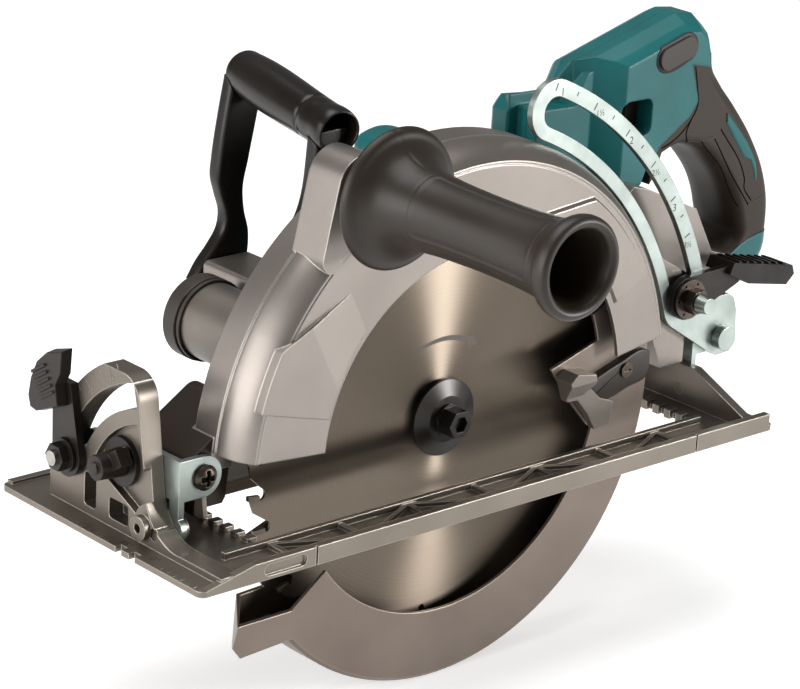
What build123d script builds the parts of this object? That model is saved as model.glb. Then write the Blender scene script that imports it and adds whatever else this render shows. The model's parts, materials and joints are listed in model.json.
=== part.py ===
from build123d import *
import os
from math import asin, atan2, cos, degrees, hypot, pi, radians, sin, tan

os.makedirs("parts", exist_ok=True)

# A rear-handle cordless circular saw standing on its sole at full cutting depth.
# X runs to the rear, Y to the motor side, Z up. The sole is z = 0, the blade plane y = 0,
# and the arbor is over x = 0. Millimetres and degrees.

# Blade and arbor
blade_dia = 260.0
blade_plate = 1.5
kerf = 2.15
bore_dia = 25.0
tooth_count = 40
tooth_hook = 15.0
tip_stand = 1.2
tip_length = 7.5
tip_thick = 2.6
gullet_depth = 10.0
land_length = 8.0
land_drop = 1.4
marker_hole_dia = 4.0
arbor_height = 35.0
spindle_dia = 15.0
flange_dia = 42.6
flange_thick = 5.2
outer_flange_thick = 7.2
bolt_dia = 8.0
bolt_length = 22.0
bolt_head_flats = 14.0
bolt_head = 10.5

# Clearances
run_gap = 0.05
slide_gap = 0.3
seat_gap = 0.02

# Base casting
base_front = -201.0
base_rear = 207.5
base_left = -55.5
base_right = 112.0
sole_thick = 3.2
rim_height = 10.0
rim_width = 4.5
inner_rib_height = 7.0
rib_width = 3.0
window_front = -141.0
window_rear = 172.0
window_left = -28.0
window_right = 41.0
base_corner = 4.0
front_bevel_length = 34.0

# Bevel pivot and its quadrant
bevel_height = 11.0
bevel_pin_dia = 6.0
quadrant_front = -188.0
quadrant_thick = 12.0
quadrant_r = 88.5
quadrant_flat = 11.5
window_outer_r = 76.5
window_inner_r = 63.5
clamp_arc_r = 71.0
clamp_angle = 17.5
bevel_max = 53.0
quadrant_top = bevel_height + quadrant_r - quadrant_flat
quadrant_edge_top = 14.0
quadrant_edge_low = 7.0
guide_boss_y = 8.0
guide_boss_z = 12.5
guide_screw_dia = 6.0
stop_knob_y = 30.5
stop_knob_z = 39.5
rear_wall_front = 187.5
rear_wall_thick = 6.0
rear_wall_top = 26.0

# Tilting brackets and the depth linkage
bracket_thick = 3.5
pivot_x = -160.0
pivot_z = 37.0
pivot_screw_dia = 8.0
depth_max_swing = 26.0
depth_arm_ratio = 0.66
depth_bolt_reach = 27.0
depth_bolt_angle = 11.37
depth_bolt_dia = 8.0
rivet_x = 211.0
rivet_z = 40.0
rivet_dia = 7.0
arm_thick = 4.0
arm_left = -6.0
slot_side_gap = 1.09
slot_centre_x = -14.0
slot_centre_z = 8.0
slot_play = 1.1
slot_rest = 1.16
slot_high_angle = 66.5
arm_gap = 0.45
arm_outer_band = 9.0

# Guards
guard_gap = 7.5
guard_wall = 3.0
guard_left = -24.0
guard_face = 2.5
guard_right = 17.0
guard_round = 25.5
guard_round_y = -5.0
guard_rear_angle = 9.5
guard_front_angle = 175.5
face_front_r = 99.0
face_rear_r = 111.0
face_step_angle = 62.0
lower_guard_gap = 15.5
lower_guard_left = -14.0
lower_guard_right = 10.5
lower_guard_wall = 2.0
lower_guard_inner_r = 106.5
lower_guard_nose = 217.0
lower_guard_span = 166.0
hub_r = 26.0

# Motor and gears
gear_module = 1.5
gear_teeth = 36
pinion_teeth = 8
motor_angle = 62.0
gear_left = 21.0
gear_width = 12.0
lock_circle_r = 20.5
lock_angle = 209.0
lock_pin_r = 3.0
stator_dia = 50.0
stator_bore = 27.0
stator_length = 40.0
motor_wall = 3.0
motor_end = 128.0

# Handles
side_handle_x = -82.0
side_handle_z = 181.0
side_handle_end = -178.0
side_handle_root = -24.0
grip_dia = 39.0
handle_mid = 50.0
stud_dia = 10.0
foot_front = 238.0


def side(y):
    """Sketch plane across the saw at y: local x rearwards, local y up, extrusions towards the blade side."""
    return Plane.XZ.offset(-y)


def lengthways(x):
    """Sketch plane square to the saw's length at x. Local x is +Y, local y is up, extrusions go rearwards."""
    return Plane.YZ.offset(x)


def about_arbor(angle):
    """Plane through the arbor axis at an angle from the rear towards the top, radius along its local x."""
    a = radians(angle)
    return Plane(origin=(0, 0, arbor_height), x_dir=(cos(a), 0, sin(a)), z_dir=(-sin(a), 0, cos(a)))


def on_circle(radius, angle, centre=(0.0, 0.0)):
    """The point of a circle at an angle in degrees."""
    return (centre[0] + radius * cos(radians(angle)), centre[1] + radius * sin(radians(angle)))


def turned(point, centre, angle):
    """A point turned about a centre in its plane."""
    dx, dy = point[0] - centre[0], point[1] - centre[1]
    c, s = cos(radians(angle)), sin(radians(angle))
    return (centre[0] + dx * c - dy * s, centre[1] + dx * s + dy * c)


def keep(piece, name):
    """Labels a finished piece and writes it under its name."""
    piece.part.label = name
    export_step(piece.part, f"parts/{name}.step")


arbor = (0.0, arbor_height)
arbor_axis = Axis((0, 0, arbor_height), (0, -1, 0))
bevel_axis = (0.0, bevel_height)
quadrant_back = quadrant_front + quadrant_thick
lower_guard_r = blade_dia / 2 + lower_guard_gap
guard_r = lower_guard_r + guard_gap
depth_bolt = on_circle(guard_r + depth_bolt_reach, depth_bolt_angle, arbor)
depth_pivot = (pivot_x, pivot_z)
rivet = (rivet_x, rivet_z)

# Saw blade: plate with hooked teeth, the tips brazed to the tooth faces
plate_r = blade_dia / 2 - tip_stand
tooth_pitch = 360.0 / tooth_count
hook_slope = tan(radians(tooth_hook))
next_tip = on_circle(plate_r, -tooth_pitch, (-plate_r, 0.0))
with BuildSketch() as gullet:
    with BuildLine():
        outside = (tip_stand + 1.0, -(tip_stand + 1.0) * hook_slope)
        face_root = (2.5 - gullet_depth, (gullet_depth - 2.5) * hook_slope)
        gullet_end = (1.5 - gullet_depth, -0.42 * gullet_depth)
        land_end = (next_tip[0] - land_drop + 0.9, next_tip[1] + land_length)
        Line(outside, face_root)
        ThreePointArc(face_root, (-gullet_depth, -0.1 * gullet_depth), gullet_end)
        Polyline(gullet_end, land_end, next_tip, (outside[0], next_tip[1]), outside)
    make_face()

with BuildPart() as saw_blade:
    with BuildSketch(side(blade_plate / 2)):
        with Locations(arbor):
            Circle(plate_r)
            Circle(bore_dia / 2 + seat_gap, mode=Mode.SUBTRACT)
            with PolarLocations(plate_r, tooth_count):
                add(gullet.sketch_local, mode=Mode.SUBTRACT)
        with Locations(on_circle(0.86 * plate_r, 268, arbor)):
            Circle(marker_hole_dia / 2, mode=Mode.SUBTRACT)
    extrude(amount=blade_plate)
keep(saw_blade, "saw_blade")

with BuildSketch() as tip_face:
    with BuildLine():
        inner = tip_stand - tip_length
        Polyline(
            (tip_stand, -tip_stand * hook_slope),
            (inner, -inner * hook_slope),
            (inner, -inner * hook_slope - tip_thick),
            (tip_stand - 0.4, -tip_stand * hook_slope - tip_thick),
            close=True,
        )
    make_face()
with BuildPart() as blade_tips:
    with BuildSketch(side(kerf / 2)):
        with Locations(arbor):
            with PolarLocations(plate_r, tooth_count):
                add(tip_face.sketch_local)
    extrude(amount=kerf)
keep(blade_tips, "blade_tips")

# Arbor: spindle, flanges and the hexagon bolt that clamps the blade
flange_inner_end = blade_plate / 2 + flange_thick
nose_end = -blade_plate / 2 - 1.5
spindle_end = 46.0
with BuildPart() as inner_flange:
    with BuildSketch(side(flange_inner_end)):
        with Locations(arbor):
            Circle(flange_dia / 2)
            Circle(spindle_dia / 2 + seat_gap, mode=Mode.SUBTRACT)
    extrude(amount=flange_thick)
    with BuildSketch(side(blade_plate / 2)):
        with Locations(arbor):
            Circle(bore_dia / 2)
            Circle(spindle_dia / 2 + seat_gap, mode=Mode.SUBTRACT)
    extrude(amount=blade_plate - 0.1)
keep(inner_flange, "inner_flange")

bolt_seat = -blade_plate / 2 - outer_flange_thick
nose_room = nose_end - 0.25
with BuildPart() as outer_flange:
    with BuildSketch(about_arbor(0.0)):
        Polygon(
            (bolt_dia / 2 + seat_gap, bolt_seat), (bolt_dia / 2 + seat_gap, nose_room),
            (spindle_dia / 2 + seat_gap, nose_room), (spindle_dia / 2 + seat_gap, -blade_plate / 2),
            (flange_dia / 2 - 2.6, -blade_plate / 2), (flange_dia / 2, bolt_seat + 4.4),
            (flange_dia / 2, bolt_seat + 2.8), (flange_dia / 2 - 8.5, bolt_seat), align=None,
        )
    revolve(axis=arbor_axis)
keep(outer_flange, "outer_flange")

with BuildPart() as blade_bolt:
    with BuildSketch(side(bolt_seat)):
        with Locations(arbor):
            Circle(bolt_head_flats * 0.62)
    extrude(amount=1.5)
    with BuildSketch(side(bolt_seat - 1.5)):
        with Locations(arbor):
            RegularPolygon(bolt_head_flats / 2, 6, major_radius=False)
    extrude(amount=bolt_head - 1.5)
    with BuildSketch(side(bolt_seat - bolt_head)):
        with Locations(arbor):
            RegularPolygon(bolt_head_flats * 0.29, 6, major_radius=False)
    extrude(amount=-3.5, mode=Mode.SUBTRACT)
    with BuildSketch(side(bolt_seat)):
        with Locations(arbor):
            Circle(bolt_dia / 2)
    extrude(amount=-bolt_length)
keep(blade_bolt, "blade_bolt")

with BuildPart() as spindle:
    with BuildSketch(side(spindle_end)):
        with Locations(arbor):
            Circle(spindle_dia / 2)
    extrude(amount=spindle_end - nose_end)
    with BuildSketch(side(bolt_seat + bolt_length)):
        with Locations(arbor):
            Circle(bolt_dia / 2 + seat_gap)
    extrude(amount=bolt_seat + bolt_length - nose_end, mode=Mode.SUBTRACT)
keep(spindle, "spindle")

# Reduction gears: a straight-flanked wheel on the spindle and the pinion cut on the rotor shaft
gear_pitch_r = gear_module * gear_teeth / 2
pinion_pitch_r = gear_module * pinion_teeth / 2
gear_right = gear_left + gear_width
motor_xz = on_circle(gear_pitch_r + pinion_pitch_r, motor_angle, arbor)


def toothed_wheel(centre, pitch_r, teeth, phase):
    """Face of a gear: a root disc and one four-sided tooth per pitch, thinned for backlash."""
    root_r = pitch_r - 1.25 * gear_module
    tip_r = pitch_r + gear_module
    root_half = 0.34 * pi * gear_module
    tip_half = 0.12 * pi * gear_module
    with Locations(centre):
        Circle(root_r)
        with PolarLocations(0, teeth, start_angle=phase):
            Polygon(
                (root_r - 1.0, -root_half), (tip_r, -tip_half), (tip_r, tip_half),
                (root_r - 1.0, root_half), align=None
            )


with BuildPart() as spindle_gear:
    with BuildSketch(side(gear_right)):
        toothed_wheel(arbor, gear_pitch_r, gear_teeth, motor_angle + 180.0 / gear_teeth)
        with Locations(arbor):
            Circle(spindle_dia / 2 + seat_gap, mode=Mode.SUBTRACT)
            with PolarLocations(lock_circle_r, 6, start_angle=lock_angle):
                Circle(lock_pin_r + 0.6, mode=Mode.SUBTRACT)
    extrude(amount=gear_width)
keep(spindle_gear, "spindle_gear")

# Rotor: shaft with pinion, magnet core and cooling fan
shaft_r = 4.0
stator_left = 68.0
stator_right = stator_left + stator_length
fan_left = stator_right + 4.0
fan_width = 7.0
with BuildPart() as rotor_shaft:
    with BuildSketch(side(motor_end - 3.0)):
        with Locations(motor_xz):
            Circle(shaft_r)
    extrude(amount=motor_end - 3.0 - gear_left)
    with BuildSketch(side(gear_right + 1.0)):
        toothed_wheel(motor_xz, pinion_pitch_r, pinion_teeth, motor_angle + 180.0)
    extrude(amount=gear_width + 1.0)
keep(rotor_shaft, "rotor_shaft")

with BuildPart() as rotor_core:
    with BuildSketch(side(stator_right)):
        with Locations(motor_xz):
            Circle(stator_bore / 2 - 0.5)
            Circle(shaft_r + seat_gap, mode=Mode.SUBTRACT)
    extrude(amount=stator_length)
keep(rotor_core, "rotor_core")

with BuildPart() as cooling_fan:
    with BuildSketch(side(fan_left + 2.0)):
        with Locations(motor_xz):
            Circle(stator_dia / 2 - 1.0)
            Circle(shaft_r + seat_gap, mode=Mode.SUBTRACT)
    extrude(amount=2.0)
    with BuildSketch(side(fan_left + fan_width)):
        with Locations(motor_xz):
            with PolarLocations(stator_dia * 0.36, 13):
                Rectangle(stator_dia * 0.2, 1.2, rotation=28)
    extrude(amount=fan_width - 2.0)
    with BuildSketch(side(fan_left + fan_width)):
        with Locations(motor_xz):
            Circle(shaft_r + 4.0)
            Circle(shaft_r + seat_gap, mode=Mode.SUBTRACT)
    extrude(amount=fan_width - 2.0)
keep(cooling_fan, "cooling_fan")

with BuildPart() as stator:
    with BuildSketch(side(stator_right)):
        with Locations(motor_xz):
            Circle(stator_dia / 2)
            Circle(stator_dia / 2 - 4.0, mode=Mode.SUBTRACT)
            with PolarLocations((stator_dia / 2 - 4.0 + stator_bore / 2) / 2, 6):
                Rectangle((stator_dia - stator_bore) / 2 - 3.0, 7.0)
            Circle(stator_bore / 2, mode=Mode.SUBTRACT)
    extrude(amount=stator_length)
keep(stator, "stator")

# Base casting: sole plate with the blade window, ribbed strip on the blade side, bevel quadrant and rear wall
strip_left = base_left + rim_width
strip_right = window_left - rib_width
strip_mid = (strip_left + strip_right) / 2
strip_width = strip_right - strip_left
brace_pitch = 46.0
brace_count = int((base_rear - base_front - 2 * front_bevel_length) // brace_pitch)
brace_first = -brace_pitch * (brace_count - 1) / 2
brace_height = inner_rib_height - 1.5
right_rib_y = window_right + rib_width / 2
foot_height = rim_height - 3.0
sweep_end = (quadrant_edge_low, 30.0)
sweep_start = (-22.0, foot_height)
arc_low = degrees(asin((foot_height + 18.0 - bevel_height) / quadrant_r))
arc_high = degrees(asin((quadrant_top - bevel_height) / quadrant_r))
clamp_yz = on_circle(clamp_arc_r, clamp_angle, bevel_axis)
slot_margin = 5.0
guide_boss_height = 4.0
guide_hole_depth = 12.0
web_recess = 4.5


def ring_sector(centre, r_in, r_out, start, end):
    """A ring sector between two angles, as a sketch."""
    with BuildSketch() as sector:
        with BuildLine():
            CenterArc(centre, r_out, start, end - start)
            Line(on_circle(r_out, end, centre), on_circle(r_in, end, centre))
            CenterArc(centre, r_in, end, start - end)
            Line(on_circle(r_in, start, centre), on_circle(r_out, start, centre))
        make_face()
    return sector.sketch_local


arc_window = ring_sector(
    bevel_axis, window_inner_r, window_outer_r,
    clamp_angle - slot_margin, clamp_angle + bevel_max + slot_margin,
)
web_pocket = ring_sector(bevel_axis, 16.0, window_inner_r - 8.0, 24.0, 74.0)

with BuildPart() as base_plate:
    with BuildSketch(Plane.XY):
        with Locations(((base_front + base_rear) / 2, (base_left + base_right) / 2)):
            RectangleRounded(base_rear - base_front, base_right - base_left, base_corner)
        with Locations(((window_front + window_rear) / 2, (window_left + window_right) / 2)):
            RectangleRounded(
                window_rear - window_front, window_right - window_left, base_corner, mode=Mode.SUBTRACT
            )
    extrude(amount=sole_thick)
    # Blade-side rim, its front end sloping down to the sole
    with BuildSketch(side(base_left + rim_width)):
        Polygon(
            (base_front + base_corner, 0), (base_rear - base_corner, 0),
            (base_rear - base_corner, rim_height),
            (base_front + front_bevel_length, rim_height), (base_front + base_corner, sole_thick), align=None,
        )
    extrude(amount=rim_width)
    # Long ribs, cross ribs and diagonal braces
    with BuildSketch(Plane.XY):
        with Locations(((base_front + base_rear) / 2, strip_right + rib_width / 2)):
            Rectangle(base_rear - base_front - 2 * front_bevel_length, rib_width)
    extrude(amount=inner_rib_height)
    with BuildSketch(Plane.XY):
        with Locations((brace_first + brace_pitch * (brace_count - 1) / 2, strip_mid)):
            with GridLocations(brace_pitch, 1, brace_count, 1):
                Rectangle(rib_width, strip_width + 2)
        for cell in range(brace_count - 1):
            cell_x = brace_first + brace_pitch * (cell + 0.5)
            lean = degrees(atan2(strip_width, brace_pitch - rib_width))
            with Locations((cell_x, strip_mid)):
                Rectangle(hypot(strip_width, brace_pitch - rib_width),
                2.2, rotation=lean if cell % 2 else -lean)
    extrude(amount=brace_height)
    with BuildSketch(Plane.XY):
        with Locations(((window_front + window_rear) / 2, right_rib_y)):
            Rectangle(window_rear - window_front, rib_width)
        with Locations(((window_front + window_rear) / 2, (right_rib_y + base_right - rim_width) / 2)):
            with GridLocations((window_rear - window_front) / 5, 1, 5, 1):
                Rectangle(rib_width, base_right - rim_width - right_rib_y)
    extrude(amount=inner_rib_height)
    with BuildSketch(Plane.XY):
        with Locations(((base_front + base_rear) / 2, base_right - rim_width / 2)):
            Rectangle(base_rear - base_front - 2 * base_corner, rim_width)
    extrude(amount=sole_thick + 1.5)
    # Crenellated front and rear edges of the window
    with BuildSketch(Plane.XY):
        with Locations((window_front, 0), (window_rear, 0)):
            with GridLocations(1, 9.0, 1, 5):
                Rectangle(6.0, 4.5)
    extrude(amount=sole_thick + 2.0)
    # Front quadrant with its arc window
    with BuildSketch(lengthways(quadrant_front)):
        with BuildLine():
            Polyline(
                (quadrant_r - 2.0, 0), (base_left + 1.0, 0), (base_left + 1.0, foot_height), sweep_start
            )
            ThreePointArc(sweep_start, (quadrant_edge_low - 8.0, foot_height + 7.0), sweep_end)
            Line(sweep_end, (quadrant_edge_top, quadrant_top - 13.0))
            ThreePointArc(
                (quadrant_edge_top, quadrant_top - 13.0), (quadrant_edge_top + 4.2, quadrant_top - 4.0),
                (quadrant_edge_top + 15.0, quadrant_top),
            )
            Line((quadrant_edge_top + 15.0, quadrant_top), on_circle(quadrant_r, arc_high, bevel_axis))
            CenterArc(bevel_axis, quadrant_r, arc_high, arc_low - arc_high)
            Line(on_circle(quadrant_r, arc_low, bevel_axis), (quadrant_r - 2.0, 0))
        make_face()
        add(arc_window, mode=Mode.SUBTRACT)
        with Locations(bevel_axis):
            Circle(bevel_pin_dia / 2 + seat_gap, mode=Mode.SUBTRACT)
    extrude(amount=quadrant_thick)
    # Recessed web behind the stop knob, and two open pockets at its foot
    with BuildSketch(lengthways(quadrant_front)):
        add(web_pocket)
    extrude(amount=web_recess, mode=Mode.SUBTRACT)
    with BuildSketch(lengthways(quadrant_front)):
        with Locations((stop_knob_y + 22.0, 17.0)):
            RectangleRounded(10.0, 18.0, 2.0)
        with Locations((stop_knob_y - 2.0, 13.5)):
            RectangleRounded(16.0, 11.0, 2.0)
    extrude(amount=quadrant_thick - 3.0, mode=Mode.SUBTRACT)
    # Boss for the guide rule's clamp screw
    with BuildSketch(lengthways(quadrant_front)):
        with Locations((guide_boss_y, guide_boss_z)):
            Circle(guide_screw_dia + 0.5)
    extrude(amount=-guide_boss_height)
    with BuildSketch(lengthways(quadrant_front - guide_boss_height)):
        with Locations((guide_boss_y, guide_boss_z)):
            Circle(guide_screw_dia / 2 - 0.5)
    extrude(amount=guide_hole_depth, mode=Mode.SUBTRACT)
    # Rear wall that carries the second bevel pin
    with BuildSketch(lengthways(rear_wall_front)):
        Polygon(
            (base_left + 1.0, 0), (base_left + 1.0, foot_height), (-10.0, rear_wall_top),
            (16.0, rear_wall_top),
            (60.0, inner_rib_height), (60.0, 0), align=None,
        )
        with Locations(bevel_axis):
            Circle(bevel_pin_dia / 2 + seat_gap, mode=Mode.SUBTRACT)
    extrude(amount=rear_wall_thick)
    # Sight notches for square and tilted cuts
    with BuildSketch(Plane.XY):
        with Locations((base_front, 0), (base_front, bevel_height)):
            Rectangle(8.0, 5.0)
    extrude(amount=sole_thick, mode=Mode.SUBTRACT)
    # Slot and two score lines in the blade-side rim
    with BuildSketch(side(base_left)):
        with Locations((base_front + 53.0, rim_height / 2)):
            SlotOverall(27.0, 6.0)
        with Locations((base_front + 73.0, rim_height / 2), (base_rear - 63.0, rim_height / 2)):
            Rectangle(1.2, rim_height)
    extrude(amount=-1.5, mode=Mode.SUBTRACT)
keep(base_plate, "base_plate")

# Bevel pins: one in the quadrant, one in the rear wall, each with a head that holds its bracket
front_plate_x = quadrant_back + slide_gap
rear_plate_x = rear_wall_front + rear_wall_thick + slide_gap
pin_head_r = bevel_pin_dia / 2 + 2.5
pin_head = 2.5
with BuildPart() as bevel_pins:
    for start, head_x in (
        (quadrant_front + 1.0, front_plate_x + bracket_thick + slide_gap),
        (rear_wall_front, rear_plate_x + bracket_thick + slide_gap),
    ):
        with BuildSketch(lengthways(start)):
            with Locations(bevel_axis):
                Circle(bevel_pin_dia / 2)
        extrude(amount=head_x - start)
        with BuildSketch(lengthways(head_x)):
            with Locations(bevel_axis):
                Circle(pin_head_r)
        extrude(amount=pin_head)
keep(bevel_pins, "bevel_pins")

# Positive stop: round plate with two screws, turn knob with a steel pin through it
stop_seat = quadrant_front + web_recess
stop_plate_thick = 3.0
stop_knob_r = 7.5
screw_head_height = 1.2
with BuildPart() as stop_plate:
    with BuildSketch(lengthways(stop_seat)):
        with Locations((stop_knob_y, stop_knob_z)):
            Circle(13.0)
            Circle(stop_knob_r * 0.5 + run_gap, mode=Mode.SUBTRACT)
            with PolarLocations(9.8, 2, start_angle=125.0):
                Circle(1.6, mode=Mode.SUBTRACT)
    extrude(amount=-stop_plate_thick)
keep(stop_plate, "stop_plate")

with BuildPart() as stop_screws:
    with BuildSketch(lengthways(stop_seat - stop_plate_thick)):
        with Locations((stop_knob_y, stop_knob_z)):
            with PolarLocations(9.8, 2, start_angle=125.0):
                Circle(2.1)
    extrude(amount=-screw_head_height)
    with BuildSketch(lengthways(stop_seat)):
        with Locations((stop_knob_y, stop_knob_z)):
            with PolarLocations(9.8, 2, start_angle=125.0):
                Circle(1.6 - seat_gap)
    extrude(amount=-stop_plate_thick)
keep(stop_screws, "stop_screws")

knob_back = stop_seat - stop_plate_thick - slide_gap
with BuildPart() as stop_knob:
    with BuildSketch(lengthways(knob_back)):
        with Locations((stop_knob_y, stop_knob_z)):
            Circle(stop_knob_r)
    extrude(amount=-15.0, taper=4)
    with BuildSketch(lengthways(knob_back)):
        with Locations((stop_knob_y, stop_knob_z)):
            Rectangle(26.0, 9.0, rotation=-35)
    extrude(amount=-9.0)
    with BuildSketch(lengthways(knob_back)):
        with Locations((stop_knob_y, stop_knob_z)):
            Circle(15.0)
            Circle(stop_knob_r, mode=Mode.SUBTRACT)
    extrude(amount=-screw_head_height - slide_gap, mode=Mode.SUBTRACT)
    with BuildSketch(lengthways(knob_back - 15.0)):
        with Locations((stop_knob_y, stop_knob_z)):
            Circle(3.1)
    extrude(amount=-1.5)
    with BuildSketch(lengthways(knob_back)):
        with Locations((stop_knob_y, stop_knob_z)):
            Circle(stop_knob_r * 0.5)
    extrude(amount=stop_plate_thick + slide_gap - 0.2)
keep(stop_knob, "stop_knob")

# Tilting brackets: zinc-plated steel, each a plate across the saw with ears bent along it
ear_left = -4.0
ear_r = 11.0
pivot_arm_left = ear_left + bracket_thick + slide_gap
pivot_arm_right = 44.0
far_ear_left = pivot_arm_right + slide_gap
eye_r = 10.0
lug_r = bevel_height - sole_thick - 0.5
with BuildPart() as front_tilt_bracket:
    with BuildSketch(lengthways(front_plate_x)):
        with Locations(bevel_axis):
            Circle(lug_r)
        with Locations(clamp_yz):
            Circle(eye_r)
        make_hull()
        with Locations(((ear_left + far_ear_left + bracket_thick) / 2, pivot_z)):
            Rectangle(far_ear_left + bracket_thick - ear_left, 2 * ear_r)
        with Locations((bracket_thick / 2 + ear_left + 2.0, (pivot_z + bevel_height) / 2)):
            Rectangle(bracket_thick + 4.0, pivot_z - bevel_height)
        with Locations(bevel_axis):
            Circle(bevel_pin_dia / 2 + run_gap, mode=Mode.SUBTRACT)
        with Locations(clamp_yz):
            Circle(bolt_dia / 2 + seat_gap, mode=Mode.SUBTRACT)
    extrude(amount=bracket_thick)
    for ear in (ear_left, far_ear_left):
        with BuildSketch(side(ear + bracket_thick)):
            with Locations(((front_plate_x + pivot_x) / 2, pivot_z)):
                Rectangle(pivot_x - front_plate_x, 2 * ear_r)
            with Locations((pivot_x, pivot_z)):
                Circle(ear_r)
                Circle(pivot_screw_dia / 2 + run_gap, mode=Mode.SUBTRACT)
        extrude(amount=bracket_thick)
keep(front_tilt_bracket, "front_tilt_bracket")

arm_right = arm_left + arm_thick
rear_ear_left = arm_right + slide_gap
rivet_ear_r = 9.5
rear_plate_top = rivet_z + rivet_ear_r
with BuildPart() as rear_tilt_bracket:
    with BuildSketch(lengthways(rear_plate_x)):
        with Locations(bevel_axis):
            Circle(lug_r)
        with Locations((rear_ear_left + 12.0, rear_plate_top - 12.0)):
            Rectangle(24.0, 24.0)
        make_hull()
        with Locations((rear_ear_left - 10.0, rear_plate_top - 14.0)):
            Rectangle(20.0, 28.0, mode=Mode.SUBTRACT)
        with Locations(bevel_axis):
            Circle(bevel_pin_dia / 2 + run_gap, mode=Mode.SUBTRACT)
    extrude(amount=bracket_thick)
    with BuildSketch(side(rear_ear_left + bracket_thick)):
        with Locations(((rear_plate_x + rivet_x) / 2, rivet_z)):
            Rectangle(rivet_x - rear_plate_x, 2 * rivet_ear_r)
        with Locations((rivet_x, rivet_z)):
            Circle(rivet_ear_r)
            Circle(rivet_dia / 2 + seat_gap, mode=Mode.SUBTRACT)
    extrude(amount=bracket_thick)
keep(rear_tilt_bracket, "rear_tilt_bracket")

# Bevel clamp: bolt through the arc window, nut and the lever that turns on it
clamp_bolt_head = 4.0
lever_back = quadrant_front - slide_gap
lever_thick = 4.5
clamp_nut_x = lever_back - lever_thick - slide_gap
nut_thick = 7.0
with BuildPart() as bevel_clamp_bolt:
    with BuildSketch(lengthways(front_plate_x + bracket_thick)):
        with Locations(clamp_yz):
            RegularPolygon(6.5, 6, major_radius=False)
    extrude(amount=clamp_bolt_head)
    with BuildSketch(lengthways(front_plate_x + bracket_thick)):
        with Locations(clamp_yz):
            Circle(bolt_dia / 2)
    extrude(amount=clamp_nut_x - nut_thick - 2.0 - front_plate_x - bracket_thick)
keep(bevel_clamp_bolt, "bevel_clamp_bolt")

with BuildPart() as bevel_clamp_nut:
    with BuildSketch(lengthways(clamp_nut_x)):
        with Locations(clamp_yz):
            Circle(9.0)
            Circle(bolt_dia / 2 + seat_gap, mode=Mode.SUBTRACT)
    extrude(amount=-1.6)
    with BuildSketch(lengthways(clamp_nut_x - 1.6)):
        with Locations(clamp_yz):
            RegularPolygon(6.5, 6, major_radius=False)
            Circle(bolt_dia / 2 + seat_gap, mode=Mode.SUBTRACT)
    extrude(amount=1.6 - nut_thick)
keep(bevel_clamp_nut, "bevel_clamp_nut")

pad_back = lever_back - lever_thick
with BuildPart() as bevel_lever:
    with BuildSketch(lengthways(lever_back)):
        with Locations(clamp_yz):
            Circle(11.5)
        with Locations((clamp_yz[0] + 4.5, clamp_yz[1] + 33.0)):
            Rectangle(15.0, 12.0)
        make_hull()
        with Locations(clamp_yz):
            Circle(bolt_dia / 2 + run_gap, mode=Mode.SUBTRACT)
    extrude(amount=-lever_thick)
keep(bevel_lever, "bevel_lever")

with BuildPart() as bevel_lever_pad:
    with BuildSketch(lengthways(pad_back)):
        Polygon(
            (clamp_yz[0] - 4.0, clamp_yz[1] + 58.5), (clamp_yz[0] + 10.0, clamp_yz[1] + 54.0),
            (clamp_yz[0] + 18.5, clamp_yz[1] + 46.5), (clamp_yz[0] + 23.5, clamp_yz[1] + 36.0),
            (clamp_yz[0] + 25.5, clamp_yz[1] + 26.0), (clamp_yz[0] + 23.5, clamp_yz[1] + 19.5),
            (clamp_yz[0] + 17.5, clamp_yz[1] + 18.5), (clamp_yz[0] - 1.0, clamp_yz[1] + 27.0),
            (clamp_yz[0] + 1.0, clamp_yz[1] + 38.0), (clamp_yz[0] - 3.0, clamp_yz[1] + 45.0), align=None,
        )
    extrude(amount=-6.0, taper=8)
    with BuildSketch(lengthways(pad_back - 6.0)):
        with Locations(Location((clamp_yz[0] + 12.0, clamp_yz[1] + 37.0), -32)):
            with GridLocations(1, 3.6, 1, 5):
                Rectangle(13.0, 1.5)
    extrude(amount=-1.0)
keep(bevel_lever_pad, "bevel_lever_pad")

# Depth arm: its slot follows the clamp bolt while the body rises and the arm leans back at a fixed ratio
slot_centre = (slot_centre_x, slot_centre_z)
swings = [depth_max_swing * step / 12 for step in range(13)]


def from_slot_centre(point, swing):
    """How far a point of the saw's body lies from the slot's centre on the arm at a swing of the body."""
    on_arm = turned(turned(point, depth_pivot, swing), rivet, depth_arm_ratio * swing)
    return hypot(on_arm[0] - slot_centre[0], on_arm[1] - slot_centre[1])


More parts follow.
